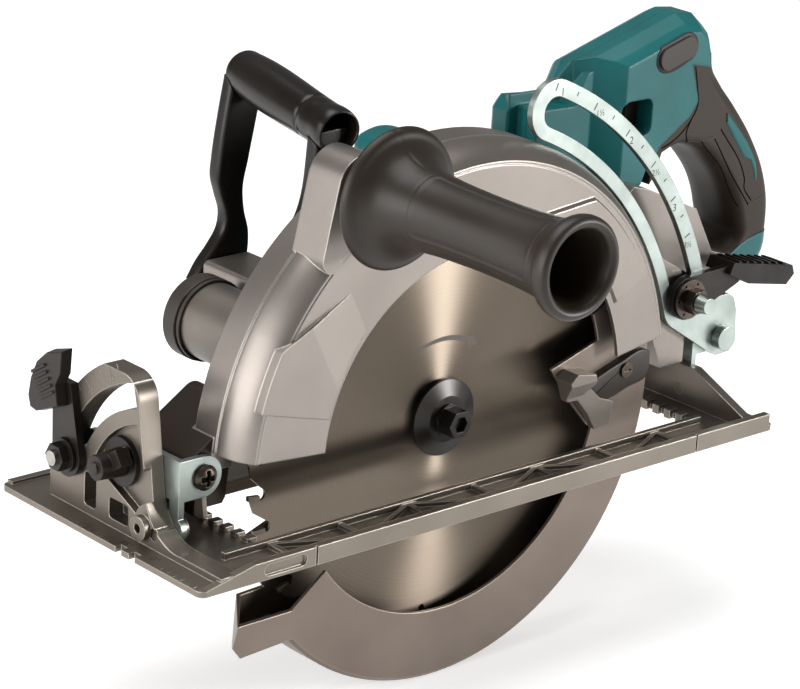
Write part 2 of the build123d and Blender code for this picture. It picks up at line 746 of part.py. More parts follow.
slot_r = from_slot_centre(depth_bolt, 0.0) + slot_play
bolt_stray = max(abs(from_slot_centre(depth_bolt, swing) - slot_r) for swing in swings)
arm_slot = 2 * (bolt_stray + depth_bolt_dia / 2 + slot_side_gap)
guard_reach = guard_r + max(from_slot_centre(arbor, swing) for swing in swings)
arm_inner_band = slot_r - arm_slot / 2 - guard_reach - arm_gap
arm_width = arm_inner_band + arm_slot + arm_outer_band
arm_mid_r = slot_r + (arm_outer_band - arm_inner_band) / 2
slot_low_angle = degrees(atan2(depth_bolt[1] - slot_centre_z, depth_bolt[0] - slot_centre_x)) - slot_rest
arm_high_angle = slot_high_angle + degrees(1.0 / slot_r)
with BuildPart() as depth_arm:
    with BuildSketch(side(arm_right)):
        with BuildLine(mode=Mode.PRIVATE) as arm_line:
            CenterArc(slot_centre, arm_mid_r, slot_low_angle, arm_high_angle - slot_low_angle)
        with BuildLine(mode=Mode.PRIVATE) as slot_line:
            CenterArc(slot_centre, slot_r, slot_low_angle, slot_high_angle - slot_low_angle)
        SlotArc(arm_line.edge(), arm_width)
        with BuildSketch(mode=Mode.PRIVATE) as lug:
            with Locations(on_circle(arm_mid_r, slot_low_angle, slot_centre)):
                Circle(arm_width / 2)
            with Locations(rivet):
                Circle(rivet_ear_r + 1.5)
            make_hull()
            Polygon(
                (rivet_x - 26.0, rivet_z + 24.0), (rivet_x + 4.0, rivet_z + 25.0),
                (rivet_x + 9.0, rivet_z + 22.0),
                (rivet_x + 12.0, rivet_z + 14.0), (rivet_x + 13.0, rivet_z - 4.0),
                (rivet_x + 9.0, rivet_z - 10.5),
                (rivet_x - 2.0, rivet_z - 11.0), align=None,
            )
        add(lug.sketch_local)
        SlotArc(slot_line.edge(), arm_slot, mode=Mode.SUBTRACT)
        with Locations(rivet):
            Circle(rivet_dia / 2 + run_gap, mode=Mode.SUBTRACT)
    extrude(amount=arm_thick)
keep(depth_arm, "depth_arm")

with BuildPart() as arm_rivet:
    with BuildSketch(side(rear_ear_left + bracket_thick)):
        with Locations(rivet):
            Circle(rivet_dia / 2)
    extrude(amount=rear_ear_left + bracket_thick - arm_left + slide_gap)
    with BuildSketch(side(arm_left - slide_gap)):
        with Locations(rivet):
            Circle(7.0)
    extrude(amount=5.5)
keep(arm_rivet, "arm_rivet")

# Depth pivot screws, depth clamp and its lever
head_drop = 3.2
with BuildPart() as pivot_screws:
    for face, inner, way in ((ear_left, 16.0, 1), (far_ear_left + bracket_thick, pivot_arm_right - 16.0, -1)):
        with BuildSketch(side(face - way * slide_gap)):
            with Locations(depth_pivot):
                Circle(pivot_screw_dia * 0.85)
                Rectangle(6.5, 1.4, mode=Mode.SUBTRACT)
                Rectangle(1.4, 6.5, mode=Mode.SUBTRACT)
        extrude(amount=way * head_drop)
        with BuildSketch(side(face - way * slide_gap)):
            with Locations(depth_pivot):
                Circle(pivot_screw_dia / 2)
        extrude(amount=-way * abs(inner - face))
        with BuildSketch(side(face - way * slide_gap)):
            with Locations(depth_pivot):
                Circle(pivot_screw_dia * 0.6)
        extrude(amount=way * 1.2)
keep(pivot_screws, "pivot_screws")

hub_right = arm_left - slide_gap
hub_left = hub_right - 4.5
washer_right = hub_left - slide_gap
washer_thick = 1.8
with BuildPart() as depth_clamp_bolt:
    with BuildSketch(side(guard_right - 3.0)):
        with Locations(depth_bolt):
            Circle(depth_bolt_dia / 2)
    extrude(amount=guard_right - 3.0 - washer_right + washer_thick + 7.5)
    with BuildSketch(side(washer_right - washer_thick - 7.5)):
        with Locations(depth_bolt):
            Circle(5.6)
    extrude(amount=7.0, taper=8)
keep(depth_clamp_bolt, "depth_clamp_bolt")

with BuildPart() as depth_clamp_nut:
    with BuildSketch(side(washer_right)):
        with Locations(depth_bolt):
            Circle(11.5)
            Circle(depth_bolt_dia / 2 + seat_gap, mode=Mode.SUBTRACT)
            with PolarLocations(9.3, 6):
                Circle(0.8, mode=Mode.SUBTRACT)
    extrude(amount=washer_thick)
    with BuildSketch(side(washer_right - washer_thick)):
        with Locations(depth_bolt):
            RegularPolygon(6.5, 6, major_radius=False)
            Circle(depth_bolt_dia / 2 + seat_gap, mode=Mode.SUBTRACT)
    extrude(amount=7.0)
keep(depth_clamp_nut, "depth_clamp_nut")

pad_left = -14.0
pad_right = 5.0
pad_top = [(209.0, 86.5), (259.0, 76.5)]
with BuildPart() as depth_lever:
    with BuildSketch(side(hub_right)):
        with Locations(depth_bolt):
            Circle(12.5)
        with Locations((214.0, 78.0)):
            Circle(6.0)
        make_hull()
        with Locations(depth_bolt):
            Circle(depth_bolt_dia / 2 + run_gap, mode=Mode.SUBTRACT)
    extrude(amount=hub_right - hub_left)
    with BuildSketch(side(pad_right)):
        Polygon(
            (206.0, 80.0), pad_top[0], pad_top[1], (261.0, 71.0), (255.0, 65.5), (222.0, 72.0), align=None
        )
    extrude(amount=pad_right - pad_left)
    ridge_lean = degrees(atan2(pad_top[1][1] - pad_top[0][1], pad_top[1][0] - pad_top[0][0]))
    for ridge in range(7):
        share = 0.12 + 0.125 * ridge
        with BuildSketch(side(pad_right - 1.0)):
            with Locations((
                pad_top[0][0] + share * (pad_top[1][0] - pad_top[0][0]),
                pad_top[0][1] + share * (pad_top[1][1] - pad_top[0][1]),
            )):
                Rectangle(2.0, 2.0, rotation=ridge_lean)
        extrude(amount=pad_right - pad_left - 2.0)
keep(depth_lever, "depth_lever")

# Upper guard: blade case with its open side, pivot arm, clamp lug, handle boss and the two supports
wall_inner_r = 60.0
cavity_r = guard_r - guard_wall
boss_r = 16.0
arm_side = 28.5
support_low = 85.0
support_high = 107.0
support_end = 99.7
arm_r = ear_r - 0.3
side_handle = (side_handle_x, side_handle_z)
hub_wall_r = 33.0
lip = guard_left + guard_face
panel_raise = 2.2
leg_rear = rear_wall_front - 1.5
leg_low = 28.0
seat_depth = 1.0


def rounded_edge(inset, end_y):
    """The guard's rounded edge, set in by inset, from the rim to a depth in y."""
    turn = degrees(asin((guard_round_y - end_y) / (guard_round - inset)))
    return CenterArc((guard_r - guard_round, guard_round_y), guard_round - inset, 0.0, -turn)


def case_section(face_r):
    """Section of the blade case through the arbor: open face, rounded edge, grooved rim and back wall."""
    with BuildSketch() as section:
        with BuildLine():
            outer = rounded_edge(0.0, guard_left)
            inner = rounded_edge(guard_wall, lip)
            edge_r = (outer @ 1).X
            Polyline(
                outer @ 1, (edge_r - 0.8, guard_left), (edge_r - 1.0, guard_left + 0.6),
                (edge_r - 1.8, guard_left + 0.6), (edge_r - 2.0, guard_left), (face_r, guard_left),
                (face_r, lip), inner @ 1,
            )
            Polyline(
                outer @ 0, (guard_r, guard_round_y + 1.2), (guard_r - 0.7, guard_round_y + 1.6),
                (guard_r - 0.7, guard_round_y + 2.6), (guard_r, guard_round_y + 3.0),
                (guard_r, guard_right - 2.0), (guard_r - 2.0, guard_right), (wall_inner_r, guard_right),
                (wall_inner_r, guard_right - guard_wall), (cavity_r, guard_right - guard_wall), inner @ 0,
            )
        make_face()
    return section.sketch_local


# The blade's room, grown a little so that what is fixed to the case ends inside its wall
with BuildSketch() as room_section:
    with BuildLine():
        room_edge = rounded_edge(guard_wall - seat_depth, lip - seat_depth)
        Polyline(
            room_edge @ 1, (hub_wall_r, lip - seat_depth),
            (hub_wall_r, guard_right - guard_wall + seat_depth),
            (cavity_r + seat_depth, guard_right - guard_wall + seat_depth), room_edge @ 0,
        )
    make_face()
panel_corner = on_circle(guard_r - 16.0, 145.5, arbor)
panel_end = on_circle(guard_r - 27.5, 133.0, arbor)
fade_x = panel_end[0] - panel_corner[0]
fade_z = panel_end[1] - panel_corner[1]
fade_plane = Plane(
    origin=(panel_corner[0], guard_left, panel_corner[1]),
    x_dir=(fade_x, 0, fade_z),
    z_dir=(fade_z, 0, -fade_x),
)
with BuildSketch() as front_panel:
    with BuildLine():
        rim_arc = CenterArc(arbor, guard_r - 5.0, 152.4, 12.6)
        lip_arc = CenterArc(arbor, face_front_r + 3.0, 129.0, 36.0)
        Polyline(rim_arc @ 0, panel_corner, panel_end, lip_arc @ 0)
        Line(rim_arc @ 1, lip_arc @ 1)
    make_face()
with BuildSketch() as rear_panel:
    with BuildLine():
        rim_arc = CenterArc(arbor, guard_r - 13.0, 26.0, 28.5)
        lip_arc = CenterArc(arbor, face_rear_r + 3.0, 26.0, face_step_angle - 28.0)
        Polyline(rim_arc @ 1, on_circle(face_rear_r + 9.5, 67.0, arbor), lip_arc @ 1)
        Line(rim_arc @ 0, lip_arc @ 0)
    make_face()
rear_section = case_section(face_rear_r)
front_section = case_section(face_front_r)
back_wall = ring_sector(arbor, hub_r, wall_inner_r + 2.0, guard_rear_angle, guard_front_angle)
with BuildPart() as upper_guard:
    # Lug for the depth clamp, with a leg that runs down behind the blade
    with BuildSketch(side(guard_right)):
        with Locations(depth_bolt):
            Circle(13.5)
        with Locations(on_circle(guard_r + 0.6, 23.4, arbor)):
            Circle(9.0)
        make_hull()
        Polygon(
            (guard_r - 7.0, 78.0), (depth_bolt[0] - 13.0, depth_bolt[1]),
            (depth_bolt[0] + 13.3, depth_bolt[1]), (leg_rear, 52.0), (leg_rear, leg_low),
            (guard_r + 15.0, leg_low), (guard_r + 3.0, 56.0), (guard_r - 5.0, 61.0), align=None,
        )
    extrude(amount=guard_right - arm_right - slide_gap)
    # Boss for the side handle
    with BuildSketch(side(0.0)):
        with Locations(side_handle):
            Circle(boss_r)
        with Locations(on_circle(guard_r - 6.0, 125.0, arbor)):
            Circle(10.0)
        with Locations(on_circle(guard_r - 5.0, 132.0, arbor)):
            Circle(7.0)
        make_hull()
    extrude(amount=-side_handle_root)
    # Arm to the front depth pivot
    with BuildSketch(side(pivot_arm_right)):
        with Locations(depth_pivot):
            Circle(arm_r)
        with Locations((-131.0, 59.0)):
            Circle(8.0)
        make_hull()
    extrude(amount=pivot_arm_right - pivot_arm_left)
    with BuildSketch(side(pivot_arm_right)):
        with Locations(depth_pivot):
            Circle(arm_r - 2.0)
        with Locations((-131.0, 58.0)):
            Circle(6.0)
        with Locations((-122.0, 47.0)):
            Circle(10.0)
        make_hull()
    extrude(amount=pivot_arm_right - guard_right + guard_wall)
    with BuildSketch(side(38.0)):
        Polygon(
            (-158.0, 30.0), (-158.0, 12.0), (-154.0, 9.0), (-131.0, 9.0), (-129.0, 12.0), (-126.0, 40.0),
            align=None,
        )
    extrude(amount=32.0)
    # Raised panel at the front of the open face
    with BuildSketch(side(guard_left + 8.0)):
        add(front_panel.sketch_local)
    extrude(amount=8.0 + panel_raise)
    with BuildSketch(fade_plane):
        fade_length = hypot(fade_x, fade_z)
        Polygon(
            (0, panel_raise), (fade_length, -0.1), (2 * fade_length, -0.1), (2 * fade_length, 10.0),
            (0, 10.0), align=None,
        )
    extrude(amount=guard_r, both=True, mode=Mode.SUBTRACT)
    with BuildSketch(about_arbor(0.0)):
        add(room_section.sketch_local)
    revolve(axis=arbor_axis, mode=Mode.SUBTRACT)
    # The case itself, its open face wider in front of the step
    with BuildSketch(about_arbor(guard_rear_angle)):
        add(rear_section)
    revolve(axis=arbor_axis, revolution_arc=face_step_angle - guard_rear_angle)
    with BuildSketch(about_arbor(face_step_angle)):
        add(front_section)
    revolve(axis=arbor_axis, revolution_arc=guard_front_angle - face_step_angle)
    with BuildSketch(side(guard_right)):
        add(back_wall)
        with Locations(arbor):
            Circle(hub_wall_r)
            Circle(hub_r + seat_gap, mode=Mode.SUBTRACT)
    extrude(amount=guard_wall)
    with BuildSketch(side(guard_left)):
        add(rear_panel.sketch_local)
    extrude(amount=panel_raise, taper=35)
    # Holes for the pivot screws, the clamp bolt and the handle's stud
    with BuildSketch(side(pivot_arm_right)):
        with Locations(depth_pivot):
            Circle(pivot_screw_dia / 2 + seat_gap)
    extrude(amount=pivot_arm_right - pivot_arm_left, mode=Mode.SUBTRACT)
    with BuildSketch(side(guard_right - 2.8)):
        with Locations(depth_bolt):
            Circle(depth_bolt_dia / 2 + seat_gap)
    extrude(amount=guard_right + 10.0, mode=Mode.SUBTRACT)
    with BuildSketch(side(-4.0)):
        with Locations(side_handle):
            Circle(stud_dia / 2 + seat_gap)
    extrude(amount=-side_handle_root - 4.0, mode=Mode.SUBTRACT)
    # Support for the carry handle and the arm that holds the foot of the rear grip
    with BuildSketch(side(support_end)):
        with Locations((-66.0, (support_low + support_high) / 2)):
            RectangleRounded(32.0, support_high - support_low, 3.0)
    extrude(amount=support_end - guard_right + guard_wall)
    with BuildSketch(side(arm_side)):
        Polygon(
            (141.0, 122.0), (152.0, 133.0), (163.0, 130.0), (190.0, 118.0), (204.0, 112.0), (220.0, 84.0),
            (foot_front, 78.0), (foot_front, 60.0), (depth_bolt[0] + 28.5, depth_bolt[1] - 10.5),
            (depth_bolt[0] - 24.5, depth_bolt[1] + 17.5), align=None,
        )
    extrude(amount=arm_side - guard_right + guard_wall)
    with BuildSketch(side(handle_mid + 16.0)):
        Polygon((216.0, 78.0), (foot_front, 78.0), (foot_front, 60.0), (216.0, 60.0), align=None)
    extrude(amount=handle_mid + 16.0 - guard_right)
    with BuildSketch(side(guard_right)):
        with Locations(arbor):
            Circle(cavity_r)
            Circle(hub_wall_r, mode=Mode.SUBTRACT)
        with Locations((0, arbor_height - guard_r)):
            Rectangle(2.2 * guard_r, 2 * guard_r - 12.0, mode=Mode.INTERSECT)
    extrude(amount=guard_right - lower_guard_left + 2.0, mode=Mode.SUBTRACT)
keep(upper_guard, "upper_guard")

# Gear housing: gear case, bearing boss through the guard wall and the back plate under the motor
case_end = gear_right + 4.0
gear_room_r = gear_pitch_r + gear_module + 0.8
pinion_room_r = pinion_pitch_r + gear_module + 1.5
front_bearing_r = 16.0
front_bearing_left = 8.5
front_bearing_right = 19.5
rear_bearing_r = 11.0
rear_bearing_left = case_end - 2.0
rear_bearing_right = spindle_end - 1.0
rotor_bearing_r = 11.0
rotor_bearing_right = case_end + 8.0
lock_at = on_circle(lock_circle_r, lock_angle, arbor)
motor_left = spindle_end + 2.5
with BuildPart() as gear_housing:
    with BuildSketch(side(case_end)):
        with Locations(arbor):
            Circle(hub_wall_r)
        with Locations(motor_xz):
            Circle(stator_dia / 2 + motor_wall)
        make_hull()
    extrude(amount=case_end - guard_right)
    with BuildSketch(side(guard_right)):
        with Locations(arbor):
            Circle(hub_r)
    extrude(amount=guard_right - 7.0)
    with BuildSketch(side(spindle_end + 2.0)):
        with Locations(arbor):
            Circle(rear_bearing_r + 2.5)
    extrude(amount=spindle_end + 2.0 - case_end)
    with BuildSketch(side(motor_left)):
        with Locations(motor_xz):
            Circle(stator_dia / 2 + motor_wall)
    extrude(amount=motor_left - case_end)
    # Gear room, bearing seats and the holes for the shafts
    with BuildSketch(side(gear_right + 1.5)):
        with Locations(arbor):
            Circle(gear_room_r)
        with Locations(motor_xz):
            Circle(pinion_room_r)
    extrude(amount=gear_right + 1.5 - front_bearing_right - 0.5, mode=Mode.SUBTRACT)
    for centre, radius, right, left in (
        (arbor, front_bearing_r + seat_gap, front_bearing_right + 1.0, front_bearing_left),
        (arbor, spindle_dia / 2 + 2.0, front_bearing_left + 1.0, 7.0),
        (arbor, rear_bearing_r + seat_gap, rear_bearing_right, gear_right),
        (arbor, spindle_dia / 2 + 0.5, spindle_end + 0.5, rear_bearing_left),
        (motor_xz, rotor_bearing_r + seat_gap, rotor_bearing_right, gear_right),
        (motor_xz, shaft_r + 1.0, motor_left, rotor_bearing_right - 1.0),
        (lock_at, lock_pin_r + run_gap, case_end + 1.0, gear_right),
    ):
        with BuildSketch(side(right)):
            with Locations(centre):
                Circle(radius)
        extrude(amount=right - left, mode=Mode.SUBTRACT)
keep(gear_housing, "gear_housing")

with BuildPart() as spindle_bearings:
    for right, left, radius in (
        (front_bearing_right, front_bearing_left, front_bearing_r),
        (rear_bearing_right, rear_bearing_left, rear_bearing_r)
    ):
        with BuildSketch(side(right)):
            with Locations(arbor):
                Circle(radius)
                Circle(spindle_dia / 2 + run_gap, mode=Mode.SUBTRACT)
        extrude(amount=right - left)
keep(spindle_bearings, "spindle_bearings")

end_cover_left = fan_left + fan_width - 1.0
with BuildPart() as rotor_bearings:
    for right, left in ((rotor_bearing_right, case_end - 1.5), (motor_end - 3.5, motor_end - 8.0)):
        with BuildSketch(side(right)):
            with Locations(motor_xz):
                Circle(rotor_bearing_r)
                Circle(shaft_r + run_gap, mode=Mode.SUBTRACT)
        extrude(amount=right - left)
keep(rotor_bearings, "rotor_bearings")

with BuildPart() as motor_housing:
    with BuildSketch(side(end_cover_left)):
        with Locations(motor_xz):
            Circle(stator_dia / 2 + motor_wall)
            Circle(stator_dia / 2 + seat_gap, mode=Mode.SUBTRACT)
    extrude(amount=end_cover_left - motor_left)
keep(motor_housing, "motor_housing")

with BuildPart() as motor_end_cover:
    with BuildSketch(side(motor_end)):
        with Locations(motor_xz):
            Circle(stator_dia / 2 + motor_wall)
    extrude(amount=motor_end - end_cover_left)
    with BuildSketch(side(fan_left + fan_width + 0.5)):
        with Locations(motor_xz):
            Circle(stator_dia / 2)
    extrude(amount=fan_left + fan_width + 0.5 - end_cover_left, mode=Mode.SUBTRACT)
    with BuildSketch(side(motor_end - 3.5)):
        with Locations(motor_xz):
            Circle(rotor_bearing_r + seat_gap)
    extrude(amount=6.0, mode=Mode.SUBTRACT)
    with BuildSketch(side(motor_end - 2.0)):
        with Locations(motor_xz):
            Circle(shaft_r + 1.0)
    extrude(amount=4.0, mode=Mode.SUBTRACT)
    with BuildSketch(side(motor_end)):
        with Locations(motor_xz):
            with PolarLocations(19.0, 12):
                SlotOverall(9.0, 3.0)
    extrude(amount=motor_end - end_cover_left, mode=Mode.SUBTRACT)
keep(motor_end_cover, "motor_end_cover")

lock_button_r = 6.0
lock_travel = 2.5
with BuildPart() as shaft_lock:
    with BuildSketch(side(case_end + lock_travel + 9.0)):
        with Locations(lock_at):
            Circle(lock_button_r)
    extrude(amount=9.0 - slide_gap)
    with BuildSketch(side(case_end + lock_travel + slide_gap)):
        with Locations(lock_at):
            Circle(lock_pin_r)
    extrude(amount=case_end + lock_travel - gear_right - 0.2)
keep(shaft_lock, "shaft_lock")

# Dust nozzle on the guard wall, with a ribbed cap over its end
nozzle_at = (-105.0, 89.0)
nozzle_r = 20.6
nozzle_end = 70.0
with BuildPart() as dust_nozzle:
    with BuildSketch(side(guard_right + 5.0)):
        with Locations(nozzle_at):
            Circle(nozzle_r + 1.5)
    extrude(amount=5.0)
    with BuildSketch(side(nozzle_end)):
        with Locations(nozzle_at):
            Circle(nozzle_r)
    extrude(amount=nozzle_end - guard_right - 4.0)
    with BuildSketch(side(nozzle_end)):
        with Locations(nozzle_at):
            Circle(nozzle_r - 2.5)
    extrude(amount=nozzle_end - guard_right, mode=Mode.SUBTRACT)
keep(dust_nozzle, "dust_nozzle")

with BuildPart() as dust_cap:
    with BuildSketch(side(nozzle_end + 6.0)):
        with Locations(nozzle_at):
            Circle(nozzle_r + 1.3)
    extrude(amount=14.0)
    with BuildSketch(side(nozzle_end)):
        with Locations(nozzle_at):
            Circle(nozzle_r + seat_gap)
    extrude(amount=12.0, mode=Mode.SUBTRACT)
    with BuildSketch(side(nozzle_end + 5.0)):
        with Locations(nozzle_at):
            with PolarLocations(nozzle_r + 1.4, 20):
                Circle(0.9)
    extrude(amount=12.0)
keep(dust_cap, "dust_cap")

# Lower guard: sprung shell that turns on the gear housing's boss
plate_left = lower_guard_right - lower_guard_wall
with BuildSketch() as shell_section:
    inside_r = lower_guard_r - lower_guard_wall
    Polygon(
        (lower_guard_inner_r, lower_guard_left), (lower_guard_r - 2.0, lower_guard_left),
        (lower_guard_r, lower_guard_left + 2.0), (lower_guard_r, lower_guard_right),
        (hub_r + 9.0, lower_guard_right),
        (hub_r + 9.0, plate_left), (inside_r, plate_left),
        (inside_r, lower_guard_left + lower_guard_wall + 1.0),
        (inside_r - 1.0, lower_guard_left + lower_guard_wall),
        (lower_guard_inner_r, lower_guard_left + lower_guard_wall), align=None,
    )
far_plate = ring_sector(arbor, hub_r + 9.0, lower_guard_r - 14.0, 200.0, lower_guard_nose + 3.0)
nose_x = -lower_guard_r
lever_pad_end = 115.0
with BuildPart() as lower_guard:
    with BuildSketch(about_arbor(lower_guard_nose)):
        add(shell_section.sketch_local)
    revolve(axis=arbor_axis, revolution_arc=lower_guard_span)
    with BuildSketch(side(lower_guard_right)):
        add(far_plate)
        with Locations(arbor):
            Circle(hub_r + 12.0)
    extrude(amount=lower_guard_wall)
    # Flared nose, its tip on the open side, hollow from above
    with BuildSketch(side(lower_guard_left)):
        Polygon(
            (nose_x + 41.5, -46.0), (nose_x + 2.5, -46.0), (nose_x - 0.5, -57.0), (nose_x + 5.0, -64.0),
            (nose_x + 41.5, -62.0), align=None,
        )
    with BuildSketch(side(lower_guard_right)):
        Polygon(
            (nose_x + 41.5, -40.0), (nose_x + 21.0, -41.0), (nose_x + 20.0, -58.0), (nose_x + 19.5, -71.0),
            (nose_x + 41.5, -70.0), align=None,
        )
    loft(ruled=True)
    with BuildSketch(side(lower_guard_right - lower_guard_wall)):
        Polygon(
            (nose_x + 45.5, -20.0), (nose_x + 23.0, -20.0), (nose_x + 21.5, -62.0), (nose_x + 45.5, -56.0),
            align=None,
        )
    with BuildSketch(side(lower_guard_left + lower_guard_wall)):
        Polygon(
            (nose_x + 45.5, -20.0), (nose_x + 6.5, -20.0), (nose_x + 4.5, -57.0), (nose_x + 45.5, -56.0),
            align=None,
        )
    loft(ruled=True, mode=Mode.SUBTRACT)
    # Pad that carries the lever
    with BuildSketch(side(lower_guard_left + lower_guard_wall)):
        Polygon(
            (69.0, 50.5), (lever_pad_end, 64.5), (lever_pad_end + 5.0, 50.0), (112.0, 20.0), (100.0, 12.0),
            (86.0, 28.0), align=None,
        )
    extrude(amount=lower_guard_wall)
    with BuildSketch(side(lower_guard_right)):
        with Locations(arbor):
            Circle(hub_r + run_gap)
    extrude(amount=lower_guard_wall, mode=Mode.SUBTRACT)
keep(lower_guard, "lower_guard")

with BuildPart() as guard_ring:
    with BuildSketch(side(plate_left - slide_gap)):
        with Locations(arbor):
            Circle(hub_r + 3.5)
            Circle(hub_r + seat_gap, mode=Mode.SUBTRACT)
    extrude(amount=1.2)
keep(guard_ring, "guard_ring")

spring_wire = 1.2
with BuildPart() as guard_spring:
    with BuildSketch(about_arbor(30.0)):
        with Locations((hub_r + 1.8, guard_right - guard_wall - spring_wire - 0.4)):
            Circle(spring_wire)
    revolve(axis=arbor_axis, revolution_arc=320)
keep(guard_spring, "guard_spring")

bar_left = lip + 1.2
foot_left = lip + 2.5
knob_out = 12.0
with BuildPart() as guard_lever:
    with BuildSketch(side(lower_guard_left)):
        Polygon(
            (73.0, 45.0), (78.0, 49.5), (92.0, 47.0), (93.5, 40.0), (88.0, 31.0), (78.0, 31.5), align=None
        )
    extrude(amount=knob_out)
    with BuildSketch(side(lower_guard_left)):
        Polygon(
            (84.0, 33.0), (88.0, 43.0), (103.0, 29.0), (114.0, 25.0), (112.0, 11.0), (101.0, 11.0),
            (94.0, 22.0), align=None,
        )
    extrude(amount=lower_guard_left - foot_left)
    # Underside that rises outwards, so that the lever clears the base when the saw tilts
    with BuildSketch(lengthways(60.0)):
        rise = tan(radians(bevel_max))
        out_y = lower_guard_left - knob_out - 2.0
        Polygon(
            (foot_left, 0), (foot_left, 33.5), (out_y, 33.5 + rise * (foot_left - out_y)), (out_y, 0),
            align=None,
        )
    extrude(amount=50.0, mode=Mode.SUBTRACT)
keep(guard_lever, "guard_lever")

bar_screw_at = (122.0, 41.5)
with BuildPart() as guard_lever_bar:
    with BuildSketch(side(lower_guard_left)):
        with Locations((108.5, 38.5)):
            Circle(5.5)
        with Locations((137.0, 46.5)):
            Circle(5.5)
        make_hull()
        with Locations(bar_screw_at):
            Circle(2.5 + seat_gap, mode=Mode.SUBTRACT)
    extrude(amount=lower_guard_left - bar_left - 1.6)
keep(guard_lever_bar, "guard_lever_bar")

with BuildPart() as guard_lever_screw:
    with BuildSketch(side(lower_guard_left)):
        with Locations(bar_screw_at):
            Circle(2.5)
    extrude(amount=lower_guard_left - bar_left - 1.0)
    with BuildSketch(side(bar_left + 1.6)):
        with Locations(bar_screw_at):
            Circle(4.2)
            Rectangle(5.5, 1.2, mode=Mode.SUBTRACT)
    extrude(amount=1.4)
keep(guard_lever_screw, "guard_lever_screw")

# Rear handle: one rounded form, cut into two housing halves, the rubber of the grip, its inlay and end cap
half_straight = 8.0
first_round = 8.0
second_round = 5.0
first_lean = 28.0
second_lean = 40.0
wide = half_straight + first_round + second_round
core_inset = 7.0
trigger_hole = (165.5, 166.5)
trigger_hole_x = 23.0
trigger_hole_z = 21.0
with BuildSketch() as handle_outline:
    Polygon(
        (93.0, 119.0), (93.0, 184.0), (124.0, 183.0), (132.0, 199.0), (203.0, 219.5), (216.0, 218.0),
        (226.0, 209.5),
        (229.0, 200.0), (230.5, 189.0), (255.0, 163.5), (272.5, 143.0), (286.5, 120.5), (293.0, 99.0),
        (292.5, 78.0),
        (289.5, 65.0), (281.0, 57.0), (foot_front, 57.0), (foot_front, 76.0), (260.0, 80.0), (257.0, 92.0),
        (250.0, 109.0),
        (236.0, 126.0), (221.0, 139.5), (205.0, 143.5), (191.0, 140.0), (183.0, 131.0), (178.0, 119.0),
        align=None,
    )
with BuildSketch() as grip_region:
    Polygon(
        (207.0, 192.0), (222.0, 188.5), (240.0, 192.0), (320.0, 192.0), (320.0, 40.0), (225.0, 40.0),
        (225.0, 110.0),
        (180.0, 130.0), (185.0, 147.0), (208.0, 161.5), (214.5, 170.0), align=None,
    )
with BuildSketch() as cap_region:
    Polygon((266.0, 40.0), (266.0, 71.5), (273.0, 77.0), (310.0, 79.5), (310.0, 40.0), align=None)
with BuildSketch() as inlay_region:
    Polygon(
        (243.5, 155.0), (247.0, 158.5), (256.0, 149.0), (273.5, 120.0), (275.5, 111.0), (265.0, 128.0),
        (259.0, 133.0),
        (252.0, 146.0), align=None,
    )
with BuildPart() as handle_form:
    with BuildSketch(side(handle_mid + half_straight)):
        add(handle_outline.sketch_local)
    extrude(amount=2 * half_straight)
    with BuildSketch(side(handle_mid + half_straight)):
        add(handle_outline.sketch_local)
    extrude(amount=-first_round, taper=first_lean)
    with BuildSketch(side(handle_mid + half_straight + first_round)):
        add(handle_outline.sketch_local)
        offset(amount=-first_round * tan(radians(first_lean)), kind=Kind.INTERSECTION, mode=Mode.REPLACE)
    extrude(amount=-second_round, taper=second_lean)
    with BuildSketch(side(handle_mid - half_straight)):
        add(handle_outline.sketch_local)
    extrude(amount=first_round, taper=first_lean)
    with BuildSketch(side(handle_mid - half_straight - first_round)):
        add(handle_outline.sketch_local)
        offset(amount=-first_round * tan(radians(first_lean)), kind=Kind.INTERSECTION, mode=Mode.REPLACE)
    extrude(amount=second_round, taper=second_lean)
    # Front corner cut away on the blade side
    with BuildSketch(Plane.XY.offset(100.0)):
        Polygon((60.0, 10.0), (157.0, 10.0), (157.0, 27.5), (125.0, 57.0), (60.0, 57.0), align=None)
    extrude(amount=140.0, mode=Mode.SUBTRACT)

with BuildPart() as core_room:
    with BuildSketch(side(handle_mid + half_straight)):
        add(handle_outline.sketch_local)
        offset(amount=-core_inset, kind=Kind.INTERSECTION, mode=Mode.REPLACE)
    extrude(amount=2 * half_straight)
with BuildPart() as core_form:
    with BuildSketch(side(handle_mid + half_straight - seat_gap)):
        add(handle_outline.sketch_local)
        offset(amount=-core_inset - seat_gap, kind=Kind.INTERSECTION, mode=Mode.REPLACE)
    extrude(amount=2 * (half_straight - seat_gap))

with BuildPart() as grip_rubber:
    add(handle_form.part)
    with BuildSketch(side(handle_mid + wide)):
        add(grip_region.sketch_local)
    extrude(amount=2 * wide, mode=Mode.INTERSECT)
    with BuildSketch(side(handle_mid + wide)):
        add(cap_region.sketch_local)
    extrude(amount=2 * wide, mode=Mode.SUBTRACT)
    with BuildSketch(side(handle_mid - 6.0)):
        add(inlay_region.sketch_local)
    extrude(amount=wide, mode=Mode.SUBTRACT)
    add(core_room.part, mode=Mode.SUBTRACT)
keep(grip_rubber, "grip_rubber")

with BuildPart() as grip_inlay:
    add(handle_form.part)
    with BuildSketch(side(handle_mid - 6.0 - seat_gap)):
        add(inlay_region.sketch_local)
        offset(amount=-seat_gap, kind=Kind.INTERSECTION, mode=Mode.REPLACE)
    extrude(amount=wide, mode=Mode.INTERSECT)
    add(core_room.part, mode=Mode.SUBTRACT)
keep(grip_inlay, "grip_inlay")

with BuildPart() as grip_end_cap:
    add(handle_form.part)
    with BuildSketch(side(handle_mid + wide)):
        add(cap_region.sketch_local)
    extrude(amount=2 * wide, mode=Mode.INTERSECT)
    add(core_room.part, mode=Mode.SUBTRACT)
keep(grip_end_cap, "grip_end_cap")

